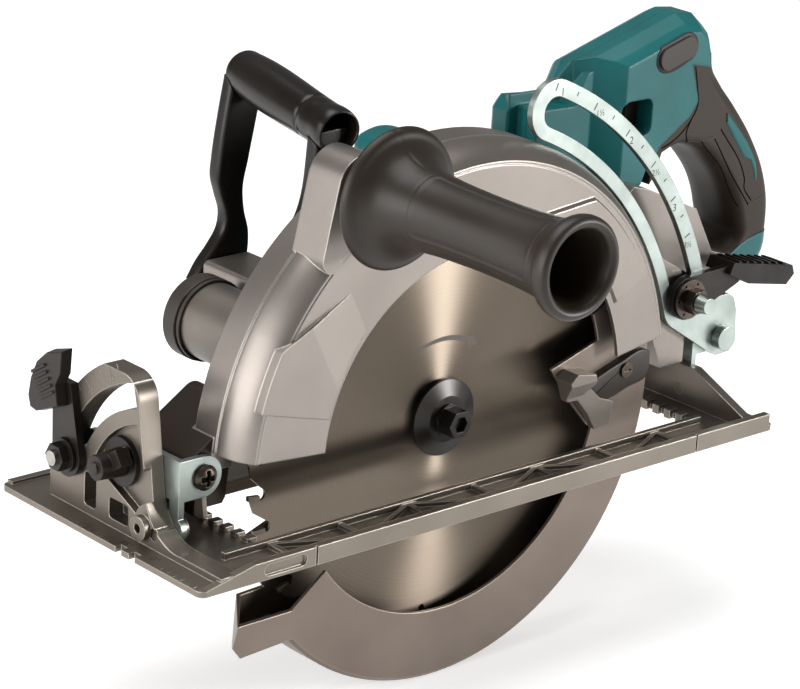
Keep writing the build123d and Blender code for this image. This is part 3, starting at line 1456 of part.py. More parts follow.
# Hollows shared by the two halves: finger hole, trigger guide and switch room
trigger_half = 8.5
trigger_travel = 5.0
trigger_high = trigger_hole_z / 2 - 1.5
switch_room = (193.0, 190.0)
switch_x = 19.0
switch_z = 23.0
with BuildPart() as hollows:
    with BuildSketch(side(handle_mid + 60.0)):
        with Locations(trigger_hole):
            RectangleRounded(trigger_hole_x, trigger_hole_z, 5.0)
    extrude(amount=120.0)
    with BuildSketch(side(handle_mid + trigger_half + slide_gap)):
        with Locations((trigger_hole[0] + trigger_hole_x / 2 + 5.0, trigger_hole[1])):
            Rectangle(9.0 + trigger_travel, 2 * (trigger_high + slide_gap))
    extrude(amount=2 * (trigger_half + slide_gap))
    with BuildSketch(side(handle_mid + 13.0)):
        with Locations(switch_room):
            Rectangle(switch_x, switch_z)
    extrude(amount=26.0)

block_bottom = 80.0
block_right = 100.0
column_right = 75.0
block_floor = 119.0
button_at = (193.5, 200.5)
button_lean = 16.0
button_long = 30.0
button_wide = 13.5
button_travel = 3.0
button_inner = handle_mid - wide + 10.0
controller_at = (43.0, 124.0)
block_bevel = 6.0
block_lean = 40.0
vent_pitch = 7.0
vent_count = 6
vent_depth = 4.0
with BuildSketch() as block_outline:
    Polygon(
        (14.0, block_bottom), (14.0, 150.0), (20.0, 154.0), (50.0, 154.0), (62.0, 146.0), (155.0, 146.0),
        (158.0, block_floor), (74.0, block_floor), (74.0, block_bottom), align=None,
    )
with BuildSketch() as column_outline:
    Polygon(
        (92.5, block_floor + 10.0), (92.5, 174.0), (98.0, 181.0), (140.0, 177.0), (140.0, block_floor + 10.0),
        align=None,
    )
with BuildPart() as housing_left:
    add(handle_form.part)
    with BuildSketch(side(handle_mid + wide)):
        add(grip_region.sketch_local)
    extrude(amount=2 * wide, mode=Mode.SUBTRACT)
    add(core_form.part)
    with BuildSketch(side(handle_mid + wide)):
        Rectangle(800.0, 800.0)
    extrude(amount=wide, mode=Mode.SUBTRACT)
    add(hollows.part, mode=Mode.SUBTRACT)
    with BuildSketch(side(button_inner + button_travel + slide_gap)):
        with Locations(button_at):
            SlotOverall(button_long, button_wide, rotation=button_lean)
    extrude(amount=wide, mode=Mode.SUBTRACT)
keep(housing_left, "housing_left")

with BuildPart() as housing_right:
    add(handle_form.part)
    with BuildSketch(side(handle_mid + wide)):
        add(grip_region.sketch_local)
    extrude(amount=2 * wide, mode=Mode.SUBTRACT)
    add(core_form.part)
    with BuildSketch(side(handle_mid)):
        Rectangle(800.0, 800.0)
    extrude(amount=wide, mode=Mode.SUBTRACT)
    with BuildSketch(side(block_right - block_bevel)):
        add(block_outline.sketch_local)
    extrude(amount=block_right - block_bevel - handle_mid)
    with BuildSketch(side(block_right - block_bevel)):
        add(block_outline.sketch_local)
    extrude(amount=-block_bevel, taper=block_lean)
    with BuildSketch(side(column_right - block_bevel)):
        add(column_outline.sketch_local)
    extrude(amount=column_right - block_bevel - handle_mid - 8.0)
    with BuildSketch(side(column_right - block_bevel)):
        add(column_outline.sketch_local)
    extrude(amount=-block_bevel, taper=block_lean)
    # Cooling slots over the controller
    with BuildSketch(side(block_right)):
        with Locations(controller_at):
            with GridLocations(vent_pitch, 1, vent_count, 1):
                SlotOverall(24.0, 3.0, rotation=90.0)
    extrude(amount=vent_depth, mode=Mode.SUBTRACT)
    add(hollows.part, mode=Mode.SUBTRACT)
    with BuildSketch(side(block_right)):
        with Locations(motor_xz):
            Circle(stator_dia / 2 + motor_wall + seat_gap)
    extrude(amount=block_right - handle_mid, mode=Mode.SUBTRACT)
    with BuildSketch(side(block_right - 8.0)):
        with Locations(controller_at):
            Rectangle(48.0, 36.0)
    extrude(amount=block_right - 8.0 - handle_mid - 4.0, mode=Mode.SUBTRACT)
keep(housing_right, "housing_right")

with BuildPart() as controller_module:
    with BuildSketch(side(block_right - 8.0 - seat_gap)):
        with Locations(controller_at):
            Rectangle(48.0 - 2 * seat_gap, 36.0 - 2 * seat_gap)
    extrude(amount=28.0)
    with BuildSketch(side(block_right - 36.0)):
        with Locations(controller_at):
            with GridLocations(8.0, 1, 5, 1):
                Rectangle(2.5, 30.0)
    extrude(amount=5.0)
keep(controller_module, "controller_module")

with BuildPart() as switch_module:
    with BuildSketch(side(handle_mid + 13.0 - seat_gap)):
        with Locations(switch_room):
            Rectangle(switch_x - 2 * seat_gap, switch_z - 2 * seat_gap)
    extrude(amount=19.0)
keep(switch_module, "switch_module")

trigger_back = trigger_hole[0] + trigger_hole_x / 2 + 6.5
trigger_front = trigger_hole[0] + 4.0
with BuildPart() as trigger:
    with BuildSketch(side(handle_mid + trigger_half)):
        with BuildLine():
            low_point = (trigger_front + 1.0, trigger_hole[1] - trigger_high)
            high_point = (trigger_front + 2.0, trigger_hole[1] + trigger_high)
            Polyline(
                low_point, (trigger_back, trigger_hole[1] - trigger_high),
                (trigger_back, trigger_hole[1] + trigger_high), high_point,
            )
            ThreePointArc(high_point, (trigger_front - 1.0, trigger_hole[1]), low_point)
        make_face()
    extrude(amount=2 * trigger_half)
keep(trigger, "trigger")

with BuildPart() as lock_off_button:
    with BuildSketch(side(button_inner)):
        with Locations(button_at):
            SlotOverall(button_long - 2 * slide_gap, button_wide - 2 * slide_gap, rotation=button_lean)
    extrude(amount=12.0)
keep(lock_off_button, "lock_off_button")

# Side handle: flanged grip on a stud in the guard's boss
handle_plane = Plane(origin=(side_handle_x, 0, side_handle_z), x_dir=(1, 0, 0), z_dir=(0, 0, 1))
handle_axis = Axis((side_handle_x, 0, side_handle_z), (0, 1, 0))
grip_r = grip_dia / 2
stud_end = side_handle_root - 38.0
disc_at = side_handle_root - 24.0
disc_r = 38.5
with BuildPart() as side_handle_grip:
    with BuildSketch(handle_plane):
        with BuildLine():
            Polyline(
                (stud_dia / 2 + seat_gap, side_handle_root), (14.0, side_handle_root),
                (14.5, side_handle_root - 10.0),
                (22.0, disc_at + 5.0), (disc_r - 2.0, disc_at), (disc_r, disc_at - 3.0),
                (disc_r - 2.0, disc_at - 6.0),
                (27.0, disc_at - 10.0), (22.0, disc_at - 16.0), (grip_r, disc_at - 26.0),
                (grip_r - 1.5, (disc_at + side_handle_end) / 2), (grip_r, side_handle_end + 16.0),
                (22.0, side_handle_end + 9.0), (25.5, side_handle_end + 6.0), (25.5, side_handle_end + 2.0),
                (24.0, side_handle_end), (22.0, side_handle_end), (17.5, side_handle_end + 10.0),
                (15.0, side_handle_end + 30.0), (15.0, side_handle_end + 70.0), (0, side_handle_end + 70.0),
                (0, stud_end - 0.5), (stud_dia / 2 + seat_gap, stud_end - 0.5),
                (stud_dia / 2 + seat_gap, side_handle_root),
            )
        make_face()
    revolve(axis=handle_axis)
keep(side_handle_grip, "side_handle_grip")

with BuildPart() as side_handle_stud:
    with BuildSketch(side(-4.5)):
        with Locations(side_handle):
            Circle(stud_dia / 2)
    extrude(amount=-4.5 - stud_end)
keep(side_handle_stud, "side_handle_stud")

# Carry handle: tubular bar with an open end and two cranked legs standing on the support
bar_near = Vector(-67.0, 17.0, 197.0)
bar_far = Vector(-53.5, 105.0, 204.5)
bar_dir = (bar_far - bar_near).normalized()
bar_length = (bar_far - bar_near).length
bar_r = 12.0
bar_start = Plane(origin=bar_near - bar_dir * 5.0, x_dir=Vector(0, 0, 1).cross(bar_dir), z_dir=bar_dir)
near_leg_left = guard_right + slide_gap
leg_thick = 9.5
far_leg_right = support_end + leg_thick
with BuildPart() as carry_handle:
    with BuildSketch(side(far_leg_right)):
        Polygon(
            (-65.5, 205.0), (-72.8, 152.0), (-65.5, 128.0), (-74.5, 111.5), (-86.0, support_low + 10.0),
            (-74.0, support_low + 4.0),
            (-52.0, support_low + 10.0), (-49.5, 118.5), (-54.7, 140.0), (-46.0, 184.0), (-42.5, 205.0),
            align=None,
        )
    extrude(amount=leg_thick)
    with BuildSketch(side(near_leg_left + leg_thick)):
        Polygon(
            (-77.0, 198.0), (-84.0, 152.0), (-89.0, 144.0), (-90.0, 122.0), (-80.0, support_high),
            (-62.0, support_high),
            (-68.0, 140.0), (-64.0, 152.0), (-57.0, 198.0), align=None,
        )
    extrude(amount=leg_thick)
    with BuildSketch(bar_start):
        Circle(bar_r)
    extrude(amount=bar_length + 9.0)
    with BuildSketch(bar_start):
        Circle(bar_r - 2.0)
    extrude(amount=32.0, mode=Mode.SUBTRACT)
keep(carry_handle, "carry_handle")

with BuildPart() as carry_handle_screw:
    with BuildSketch(side(far_leg_right)):
        with Locations((-64.0, (support_low + support_high) / 2 + 4.0)):
            Circle(5.5)
            RegularPolygon(2.2, 6, mode=Mode.SUBTRACT)
    extrude(amount=-4.0)
keep(carry_handle_screw, "carry_handle_screw")

# Battery: pack that slides in from the motor side, its contact block and latch
pack_left = 44.0
pack_right = 158.0
pack_front = 84.0
pack_rear = 158.0
pack_bottom = 46.0
pack_top = 109.0
pack_mid = (pack_front + pack_rear) / 2
latch_wide = 30.0
latch_travel = 3.0
with BuildPart() as battery_terminal:
    with BuildSketch(side(98.0)):
        with Locations((pack_mid - 4.0, (block_floor + pack_top + 1.0) / 2)):
            Rectangle(44.0, block_floor - pack_top - 1.0)
    extrude(amount=40.0)
keep(battery_terminal, "battery_terminal")

with BuildPart() as battery_pack:
    with BuildSketch(side(pack_right)):
        with Locations((pack_mid, (pack_bottom + pack_top) / 2)):
            RectangleRounded(pack_rear - pack_front, pack_top - pack_bottom, 7.0)
    extrude(amount=pack_right - pack_left)
    with BuildSketch(side(pack_right - 20.0)):
        with Locations((pack_front + 6.5, pack_top - 3.0), (pack_rear - 12.0, pack_top - 3.0)):
            Rectangle(7.0, 2 * (block_floor - pack_top - slide_gap + 3.0))
    extrude(amount=pack_right - 20.0 - pack_left)
    with BuildSketch(side(pack_right)):
        with Locations((pack_mid, pack_top)):
            Rectangle(latch_wide, 2 * (9.0 + latch_travel))
    extrude(amount=14.0, mode=Mode.SUBTRACT)
keep(battery_pack, "battery_pack")

with BuildPart() as battery_latch:
    with BuildSketch(side(pack_right - 0.5)):
        with Locations((pack_mid, pack_top - 5.0)):
            Rectangle(latch_wide - 2 * slide_gap, 6.0)
    extrude(amount=13.0)
keep(battery_latch, "battery_latch")
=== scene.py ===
"""A rear-handle cordless circular saw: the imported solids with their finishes, scales and moulded grips."""
import json
import math

import bmesh
import bpy
import numpy as np
from mathutils import Matrix, Vector


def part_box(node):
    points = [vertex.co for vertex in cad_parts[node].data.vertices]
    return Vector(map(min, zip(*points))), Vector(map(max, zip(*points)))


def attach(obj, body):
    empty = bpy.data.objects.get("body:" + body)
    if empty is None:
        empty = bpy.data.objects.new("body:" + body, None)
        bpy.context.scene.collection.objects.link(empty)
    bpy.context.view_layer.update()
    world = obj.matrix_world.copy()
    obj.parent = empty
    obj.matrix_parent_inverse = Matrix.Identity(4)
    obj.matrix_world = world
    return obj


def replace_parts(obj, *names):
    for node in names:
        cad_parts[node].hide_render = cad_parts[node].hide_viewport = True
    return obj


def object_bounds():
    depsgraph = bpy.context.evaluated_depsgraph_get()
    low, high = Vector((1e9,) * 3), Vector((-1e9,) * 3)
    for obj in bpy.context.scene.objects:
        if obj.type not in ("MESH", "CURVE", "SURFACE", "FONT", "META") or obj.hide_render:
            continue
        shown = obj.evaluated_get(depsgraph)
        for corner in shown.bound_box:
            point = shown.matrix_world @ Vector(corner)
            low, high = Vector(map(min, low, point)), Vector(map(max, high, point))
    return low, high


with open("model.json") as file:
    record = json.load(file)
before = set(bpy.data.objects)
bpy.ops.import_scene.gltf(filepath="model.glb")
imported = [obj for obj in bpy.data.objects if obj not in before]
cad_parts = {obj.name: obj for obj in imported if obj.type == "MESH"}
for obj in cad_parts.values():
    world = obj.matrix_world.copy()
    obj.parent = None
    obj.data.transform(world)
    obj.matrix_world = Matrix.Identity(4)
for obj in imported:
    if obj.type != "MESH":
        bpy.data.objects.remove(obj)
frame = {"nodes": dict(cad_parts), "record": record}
cad_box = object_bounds()
nodes = frame["nodes"]
MM = 0.001

# Places on the saw, in millimetres, X to the rear, Y to the motor side and Z up from the sole
ARBOR = np.array([0.0, 0.0, 35.0])
BLADE_FACE = -0.8
RIM_RADIUS = 153.6
RIM_BACK = 16.9
PIVOT_ARM_REAR = -112.0
SIDE_HANDLE = (-82.0, 181.0)
GRIP_MID = 50.0
ARM_FACE = -6.0
ARM_EDGE = 216.6
SLOT_CENTRE = (-14.0, 8.0)
QUADRANT_FACE = -188.0
BEVEL_AXIS = (0.0, 11.0)
SOLE_TOP = 3.2

# Sizes of the patterns in the finishes, in millimetres
NYLON_CLOUD = 45
CASTING_CLOUD = 60
PLATING_BLOTCH = 14
ROLLING_LINE = (1.2, 1.2, 30)
ROLLING_DEPTH = 0.012
BLADE_CLOUD = 35
BLADE_RING = 0.5
BLADE_RING_DEPTH = 0.0015

# How far the roughness goes below and above its mean in each kind of finish, and its limits on the blade
NYLON_GLOSS = (-0.06, 0.06)
CASTING_GLOSS = (-0.05, 0.07)
PLATING_GLOSS = (-0.07, 0.07)
BLADE_GLOSS = (0.31, 0.36)

# Rays that a rounded edge is averaged over, and the spacing in mm of points on a moulding's outline
BEVEL_SAMPLES = 6
OUTLINE_STEP = 2.0

# The saw's own directions
ALONG_X, ALONG_Y, ALONG_Z = np.eye(3)


# Finishes

def srgb(code):
    """Linear RGBA of an sRGB hex colour."""
    part = np.array([int(code[i:i + 2], 16) for i in (1, 3, 5)]) / 255
    return (*np.where(part <= 0.04045, part / 12.92, ((part + 0.055) / 1.055) ** 2.4), 1.0)


def add(tree, kind, **given):
    """Adds one node. A given socket is linked, a name of an input sets that input, and any other name
    is a property."""
    made = tree.nodes.new("ShaderNode" + kind)
    for name, value in given.items():
        slot = name[3:] if name.startswith("in_") else name.replace("_", " ")
        key = int(slot) if slot.isdigit() else slot
        if isinstance(key, str) and key not in made.inputs:
            setattr(made, name, value)
        elif isinstance(value, bpy.types.NodeSocket):
            tree.links.new(value, made.inputs[key])
        else:
            made.inputs[key].default_value = value
    return made


def start(name):
    """A new material with its tree, the place on the piece in metres, and its output node."""
    made = bpy.data.materials.new(name)
    made.use_nodes = True
    tree = made.node_tree
    tree.nodes.clear()
    place = add(tree, "TexCoord").outputs["Object"]
    return made, tree, place, add(tree, "OutputMaterial")


def moulded(name, light, dark, grain, depth, rough, edge, **shine):
    """Moulded plastic or rubber: a spark-eroded grain of that size in mm, faint cloudy colour and
    gloss, edges rounded by edge mm."""
    made, tree, place, out = start(name)
    cloud = add(tree, "TexNoise", Vector=place, Scale=1 / (NYLON_CLOUD * MM), Detail=3.0)
    colour = add(tree, "ValToRGB", Fac=cloud.outputs["Fac"])
    for stop, at, code in zip(colour.color_ramp.elements, (0.3, 0.7), (dark, light)):
        stop.position, stop.color = at, srgb(code)
    speck = add(tree, "TexNoise", Vector=place, Scale=1 / (grain * MM), Detail=2.0)
    gloss = add(tree, "MapRange", Value=cloud.outputs["Fac"], in_3=rough + NYLON_GLOSS[0],
                in_4=rough + NYLON_GLOSS[1])
    soft = add(tree, "Bevel", Radius=edge * MM, samples=BEVEL_SAMPLES)
    bump = add(tree, "Bump", Height=speck.outputs["Fac"], Distance=depth * MM, Normal=soft.outputs[0])
    shader = add(tree, "BsdfPrincipled", Base_Color=colour.outputs[0], Roughness=gloss.outputs[0],
                 Normal=bump.outputs[0], **shine)
    tree.links.new(shader.outputs[0], out.inputs[0])
    return made


def cast_metal(name, light, dark, grain, depth, rough, metal, edge, edge_wear_and_highlight, arm=None):
    """Die-cast metal under a satin lacquer: cloudy tone, fine cast grain, and edges painted paler, part wear
    and part painted highlight. The pivot arm, which stands ahead of the blade and outside the rim or
    behind it, may be painted another colour, part its own darker paint and part painted shade."""
    made, tree, place, out = start(name)
    cloud = add(tree, "TexNoise", Vector=place, Scale=1 / (CASTING_CLOUD * MM), Detail=4.0)
    colour = add(tree, "ValToRGB", Fac=cloud.outputs["Fac"])
    for stop, at, code in zip(colour.color_ramp.elements, (0.3, 0.72), (dark, light)):
        stop.position, stop.color = at, srgb(code)
    soft = add(tree, "Bevel", Radius=edge * MM, samples=BEVEL_SAMPLES)
    flat = add(tree, "NewGeometry")
    # Edges, where the rounded normal leaves the flat one, are mixed towards a pale colour: part wear, part
    # painted highlight
    along = add(tree, "VectorMath", operation="DOT_PRODUCT", in_0=soft.outputs[0],
                in_1=flat.outputs["Normal"])
    rubbed_and_lit_edges = add(tree, "MapRange", Value=along.outputs["Value"], in_1=0.995, in_2=0.9, in_3=0.0, in_4=0.5)
    tone = add(tree, "MixRGB", Fac=rubbed_and_lit_edges.outputs[0], Color1=colour.outputs[0], Color2=srgb(edge_wear_and_highlight))
    # The pivot arm's darker colour is part its own darker paint and part painted shade
    if arm:
        axes = add(tree, "SeparateXYZ", Vector=place)
        ahead = add(tree, "Math", operation="LESS_THAN", in_0=axes.outputs[0], in_1=PIVOT_ARM_REAR * MM)
        behind = add(tree, "Math", operation="GREATER_THAN", in_0=axes.outputs[1], in_1=RIM_BACK * MM)
        spoke = add(tree, "VectorMath", operation="SUBTRACT", in_0=place, in_1=tuple(ARBOR * MM))
        level = add(tree, "VectorMath", operation="MULTIPLY", in_0=spoke.outputs[0], in_1=(1.0, 0.0, 1.0))
        reach = add(tree, "VectorMath", operation="LENGTH", in_0=level.outputs[0])
        outside = add(tree, "Math", operation="GREATER_THAN", in_0=reach.outputs["Value"],
                      in_1=RIM_RADIUS * MM)
        off_rim = add(tree, "Math", operation="MAXIMUM", in_0=behind.outputs[0], in_1=outside.outputs[0])
        arm_paint_and_shade_mask = add(tree, "Math", operation="MULTIPLY", in_0=ahead.outputs[0], in_1=off_rim.outputs[0])
        tone = add(tree, "MixRGB", Fac=arm_paint_and_shade_mask.outputs[0], Color1=tone.outputs[0], Color2=srgb(arm))
    speck = add(tree, "TexNoise", Vector=place, Scale=1 / (grain * MM), Detail=3.0)
    gloss = add(tree, "MapRange", Value=speck.outputs["Fac"], in_3=rough + CASTING_GLOSS[0],
                in_4=rough + CASTING_GLOSS[1])
    bump = add(tree, "Bump", Height=speck.outputs["Fac"], Distance=depth * MM, Normal=soft.outputs[0])
    shader = add(tree, "BsdfPrincipled", Base_Color=tone.outputs[0], Roughness=gloss.outputs[0],
                 Metallic=metal, Normal=bump.outputs[0])
    tree.links.new(shader.outputs[0], out.inputs[0])
    return made


def plated_steel(name, light, dark, rough, edge, metal=1.0):
    """Plated or blackened pressed steel: blotchy tone and gloss, faint rolling lines along the
    piece."""
    made, tree, place, out = start(name)
    blotch = add(tree, "TexNoise", Vector=place, Scale=1 / (PLATING_BLOTCH * MM), Detail=5.0)
    colour = add(tree, "ValToRGB", Fac=blotch.outputs["Fac"])
    for stop, at, code in zip(colour.color_ramp.elements, (0.32, 0.68), (dark, light)):
        stop.position, stop.color = at, srgb(code)
    stretch = add(tree, "Mapping", Vector=place, Scale=tuple(1 / (size * MM) for size in ROLLING_LINE))
    lines = add(tree, "TexNoise", Vector=stretch.outputs[0], Scale=1.0, Detail=2.0)
    gloss = add(tree, "MapRange", Value=blotch.outputs["Fac"], in_3=rough + PLATING_GLOSS[0],
                in_4=rough + PLATING_GLOSS[1])
    soft = add(tree, "Bevel", Radius=edge * MM, samples=BEVEL_SAMPLES)
    bump = add(tree, "Bump", Height=lines.outputs["Fac"], Distance=ROLLING_DEPTH * MM,
               Normal=soft.outputs[0])
    shader = add(tree, "BsdfPrincipled", Base_Color=colour.outputs[0], Roughness=gloss.outputs[0],
                 Metallic=metal, Normal=bump.outputs[0])
    tree.links.new(shader.outputs[0], out.inputs[0])
    return made


def ground_blade():
    """Ground saw steel: rings turned about the arbor, rough across and smooth along, draw the light out
    into fans from the middle."""
    made, tree, place, out = start("ground_blade_steel")
    spoke = add(tree, "VectorMath", operation="SUBTRACT", in_0=place, in_1=tuple(ARBOR * MM))
    tangent = add(tree, "VectorTransform", Vector=spoke.outputs[0], vector_type="VECTOR",
                  convert_from="OBJECT", convert_to="WORLD")
    reach = add(tree, "VectorMath", operation="LENGTH", in_0=spoke.outputs[0])
    ring = add(tree, "TexNoise", noise_dimensions="1D", W=reach.outputs["Value"],
               Scale=1 / (BLADE_RING * MM), Detail=3.0)
    cloud = add(tree, "TexNoise", Vector=place, Scale=1 / (BLADE_CLOUD * MM), Detail=3.0)
    colour = add(tree, "ValToRGB", Fac=ring.outputs["Fac"])
    for stop, code in zip(colour.color_ramp.elements, ("#5c5349", "#746a5f")):
        stop.color = srgb(code)
    gloss = add(tree, "MapRange", Value=cloud.outputs["Fac"], in_3=BLADE_GLOSS[0], in_4=BLADE_GLOSS[1])
    bump = add(tree, "Bump", Height=ring.outputs["Fac"], Distance=BLADE_RING_DEPTH * MM)
    shader = add(tree, "BsdfPrincipled", Base_Color=colour.outputs[0], Metallic=1.0,
                 Roughness=gloss.outputs[0], Anisotropic=0.95, Tangent=tangent.outputs[0],
                 Normal=bump.outputs[0])
    tree.links.new(shader.outputs[0], out.inputs[0])
    return made


# Each finish is named for the real one, save the near-black one that is painted shade in grooves
FINISH = {
    # Glass-filled nylon with a fine eroded texture: a soft satin teal
    "teal_nylon": moulded("teal_glass_nylon", "#146061", "#0f5152", grain=0.55, depth=0.05, rough=0.36,
                          edge=2.0, Specular_IOR_Level=0.32),
    # The same nylon in a warm black, a little glossier on worn handles
    "black_nylon": moulded("black_glass_nylon", "#241d17", "#1b1511", grain=0.6, depth=0.04, rough=0.4,
                           edge=1.0, Specular_IOR_Level=0.25),
    "glossy_nylon": moulded("polished_black_nylon", "#17120e", "#110d0a", grain=0.6, depth=0.02, rough=0.3,
                            edge=1.2, Specular_IOR_Level=0.3),
    "satin_nylon": moulded("brown_black_nylon", "#2a231c", "#211b15", grain=0.6, depth=0.03, rough=0.42,
                           edge=0.5, Specular_IOR_Level=0.35),
    "dark_nylon": moulded("grey_glass_nylon", "#37312b", "#2e2823", grain=0.6, depth=0.05, rough=0.46,
                          edge=0.8, Specular_IOR_Level=0.3),
    # Moulded-on elastomer: matt, no sharp highlight; the near-black one after it is painted shade, laid down
    # in the grip's grooves and the screw's cross
    "soft_rubber": moulded("black_elastomer", "#342b23", "#29211a", grain=0.8, depth=0.05, rough=0.5,
                           edge=0.8, Specular_IOR_Level=0.22),
    "groove_rubber": moulded("elastomer_painted_groove_shade", "#0c0a08", "#080605", grain=0.8, depth=0.02, rough=0.8,
                             edge=0.05, Specular_IOR_Level=0.05),
    # Die-cast magnesium with a clear satin lacquer: silvery, with soft fades over the rounded rim. Each
    # casting's edges are painted paler, part wear and part painted highlight; the silver one's pivot arm is
    # painted darker, part its own paint and part painted shade
    "silver_casting": cast_metal("lacquered_magnesium_silver", "#8d8680", "#7f7872", grain=0.5, depth=0.02,
                                 rough=0.36, metal=0.85, edge=1.0, edge_wear_and_highlight="#dcd7cf", arm="#3b342e"),
    "bronze_casting": cast_metal("lacquered_magnesium_bronze", "#7e766d", "#6f685f", grain=0.5, depth=0.03,
                                 rough=0.38, metal=0.85, edge=0.9, edge_wear_and_highlight="#dbd3c7"),
    "brown_casting": cast_metal("lacquered_magnesium_brown", "#7a6f66", "#6b6058", grain=0.5, depth=0.03,
                                rough=0.38, metal=0.75, edge=1.0, edge_wear_and_highlight="#c0b6aa"),
    "grey_casting": cast_metal("painted_aluminium_grey", "#78716a", "#676059", grain=0.6, depth=0.04,
                               rough=0.36, metal=0.6, edge=1.0, edge_wear_and_highlight="#a49d96"),
    "dark_casting": cast_metal("painted_aluminium_dark", "#45403b", "#393530", grain=0.6, depth=0.04,
                               rough=0.38, metal=0.5, edge=1.0, edge_wear_and_highlight="#7a746d"),
    # Bright zinc: pale, faintly blue-green, blotchy gloss
    "zinc_steel": plated_steel("zinc_plated_steel", "#aab3ae", "#98a19c", rough=0.34, edge=0.6),
    "black_steel": plated_steel("blackened_steel", "#231e1a", "#191512", rough=0.32, edge=0.5, metal=0.5),
    "brown_steel": plated_steel("phosphated_steel", "#5d544c", "#463f39", rough=0.34, edge=0.3),
    "bright_steel": plated_steel("turned_steel", "#b3afa8", "#99958f", rough=0.28, edge=0.3),
    "carbide": plated_steel("sintered_carbide", "#6e6459", "#58504a", rough=0.45, edge=0.1),
    "copper": plated_steel("lacquered_copper", "#a5673b", "#8a5230", rough=0.35, edge=0.2),
    "blade": ground_blade(),
    # Baked marking paint, matt black with a slightly broken tone, and the greyer mark of a laser on steel
    "marking_paint": moulded("black_marking_paint", "#1a1714", "#24201c", grain=1.5, depth=0.005, rough=0.6,
                             edge=0.02),
    "laser_mark": moulded("laser_marked_steel", "#564d45", "#483f38", grain=1.5, depth=0.005, rough=0.55,
                          edge=0.02),
}
SLOT_FINISH = {
    "blade_steel": "blade", "carbide": "carbide", "zinc_steel": "zinc_steel", "black_steel": "black_steel",
    "bright_steel": "bright_steel", "gear_steel": "bright_steel", "base_magnesium": "bronze_casting",
    "guard_magnesium": "silver_casting", "dark_casting": "dark_casting", "teal_plastic": "teal_nylon",
    "black_plastic": "black_nylon", "dark_plastic": "dark_nylon", "black_rubber": "soft_rubber",
    "copper_winding": "copper",
}
NODE_FINISH = {
    "lower_guard": "brown_casting", "guard_lever": "grey_casting", "dust_nozzle": "grey_casting",
    "depth_clamp_nut": "brown_steel", "bevel_pins": "bronze_casting", "stop_screws": "bright_steel",
    "guard_lever_screw": "brown_steel",
}
for part in frame["record"]["subparts"]:
    mesh = nodes[part["node"]].data
    mesh.materials.clear()
    mesh.materials.append(FINISH[NODE_FINISH.get(part["node"], SLOT_FINISH[part["material_slot"]])])


# Shapes

def piece(name, points, faces, finish, slot, body, crease=40.0):
    """A closed piece from points in mm and its faces; where the volume that they enclose is negative,
    they turn round."""
    mesh = bpy.data.meshes.new(name)
    mesh.from_pydata((points * MM).tolist(), [], faces)
    mesh.calc_loop_triangles()
    corners = np.empty(len(mesh.loop_triangles) * 3, np.int32)
    mesh.loop_triangles.foreach_get("vertices", corners)
    a, b, c = np.moveaxis(points[corners.reshape(-1, 3)], 1, 0)
    if np.sum(a * np.cross(b, c)) < 0:
        mesh.flip_normals()
    mesh.shade_smooth()
    mesh.set_sharp_from_angle(angle=math.radians(crease))
    mesh.materials.append(FINISH[finish])
    made = bpy.data.objects.new(name, mesh)
    bpy.context.scene.collection.objects.link(made)
    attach(made, body)
    return made


def full_turn(count):
    """That many angles, evenly spaced once round."""
    return np.linspace(0, 2 * np.pi, count, endpoint=False)


def skin(rings):
    """Points and faces of a tube of rings, shaped (rings, points round, 3): quads from each ring to the
    next, and one face over each end."""
    count, size = rings.shape[:2]
    index = np.arange(count * size).reshape(count, size)
    after = np.roll(index, -1, axis=1)
    quads = np.stack([index[:-1], after[:-1], after[1:], index[1:]], axis=-1).reshape(-1, 4)
    return rings.reshape(-1, 3), quads.tolist() + [index[0, ::-1].tolist(), index[-1].tolist()]


def spun(centre, reach, y, turn):
    """Rings about an axis along Y, through centre in X and Z: X is the centre's plus the reach times
    the cosine of the turn, Z the centre's plus the reach times its sine, and y is the place along the
    axis."""
    return np.stack([centre[0] + reach * np.cos(turn), np.broadcast_to(y, reach.shape),
                     centre[1] + reach * np.sin(turn)], axis=-1)


def through(points, step):
    """Smooth line through the points, with places about step apart: cubic Hermite pieces over the run
    of chords, the slope at each point taken from its neighbours."""
    p = np.array(points, float)
    t = np.concatenate([[0.0], np.cumsum(np.linalg.norm(np.diff(p, axis=0), axis=1))])
    slope = np.gradient(p, t, axis=0)
    u = np.linspace(0.0, t[-1], int(t[-1] / step) + 2)
    k = np.clip(np.searchsorted(t, u, "right") - 1, 0, len(t) - 2)
    span = (t[k + 1] - t[k])[:, None]
    s = (u - t[k])[:, None] / span
    return ((1 + 2 * s) * (1 - s) ** 2 * p[k] + s * (1 - s) ** 2 * span * slope[k]
            + s ** 2 * (3 - 2 * s) * p[k + 1] + s ** 2 * (s - 1) * span * slope[k + 1])


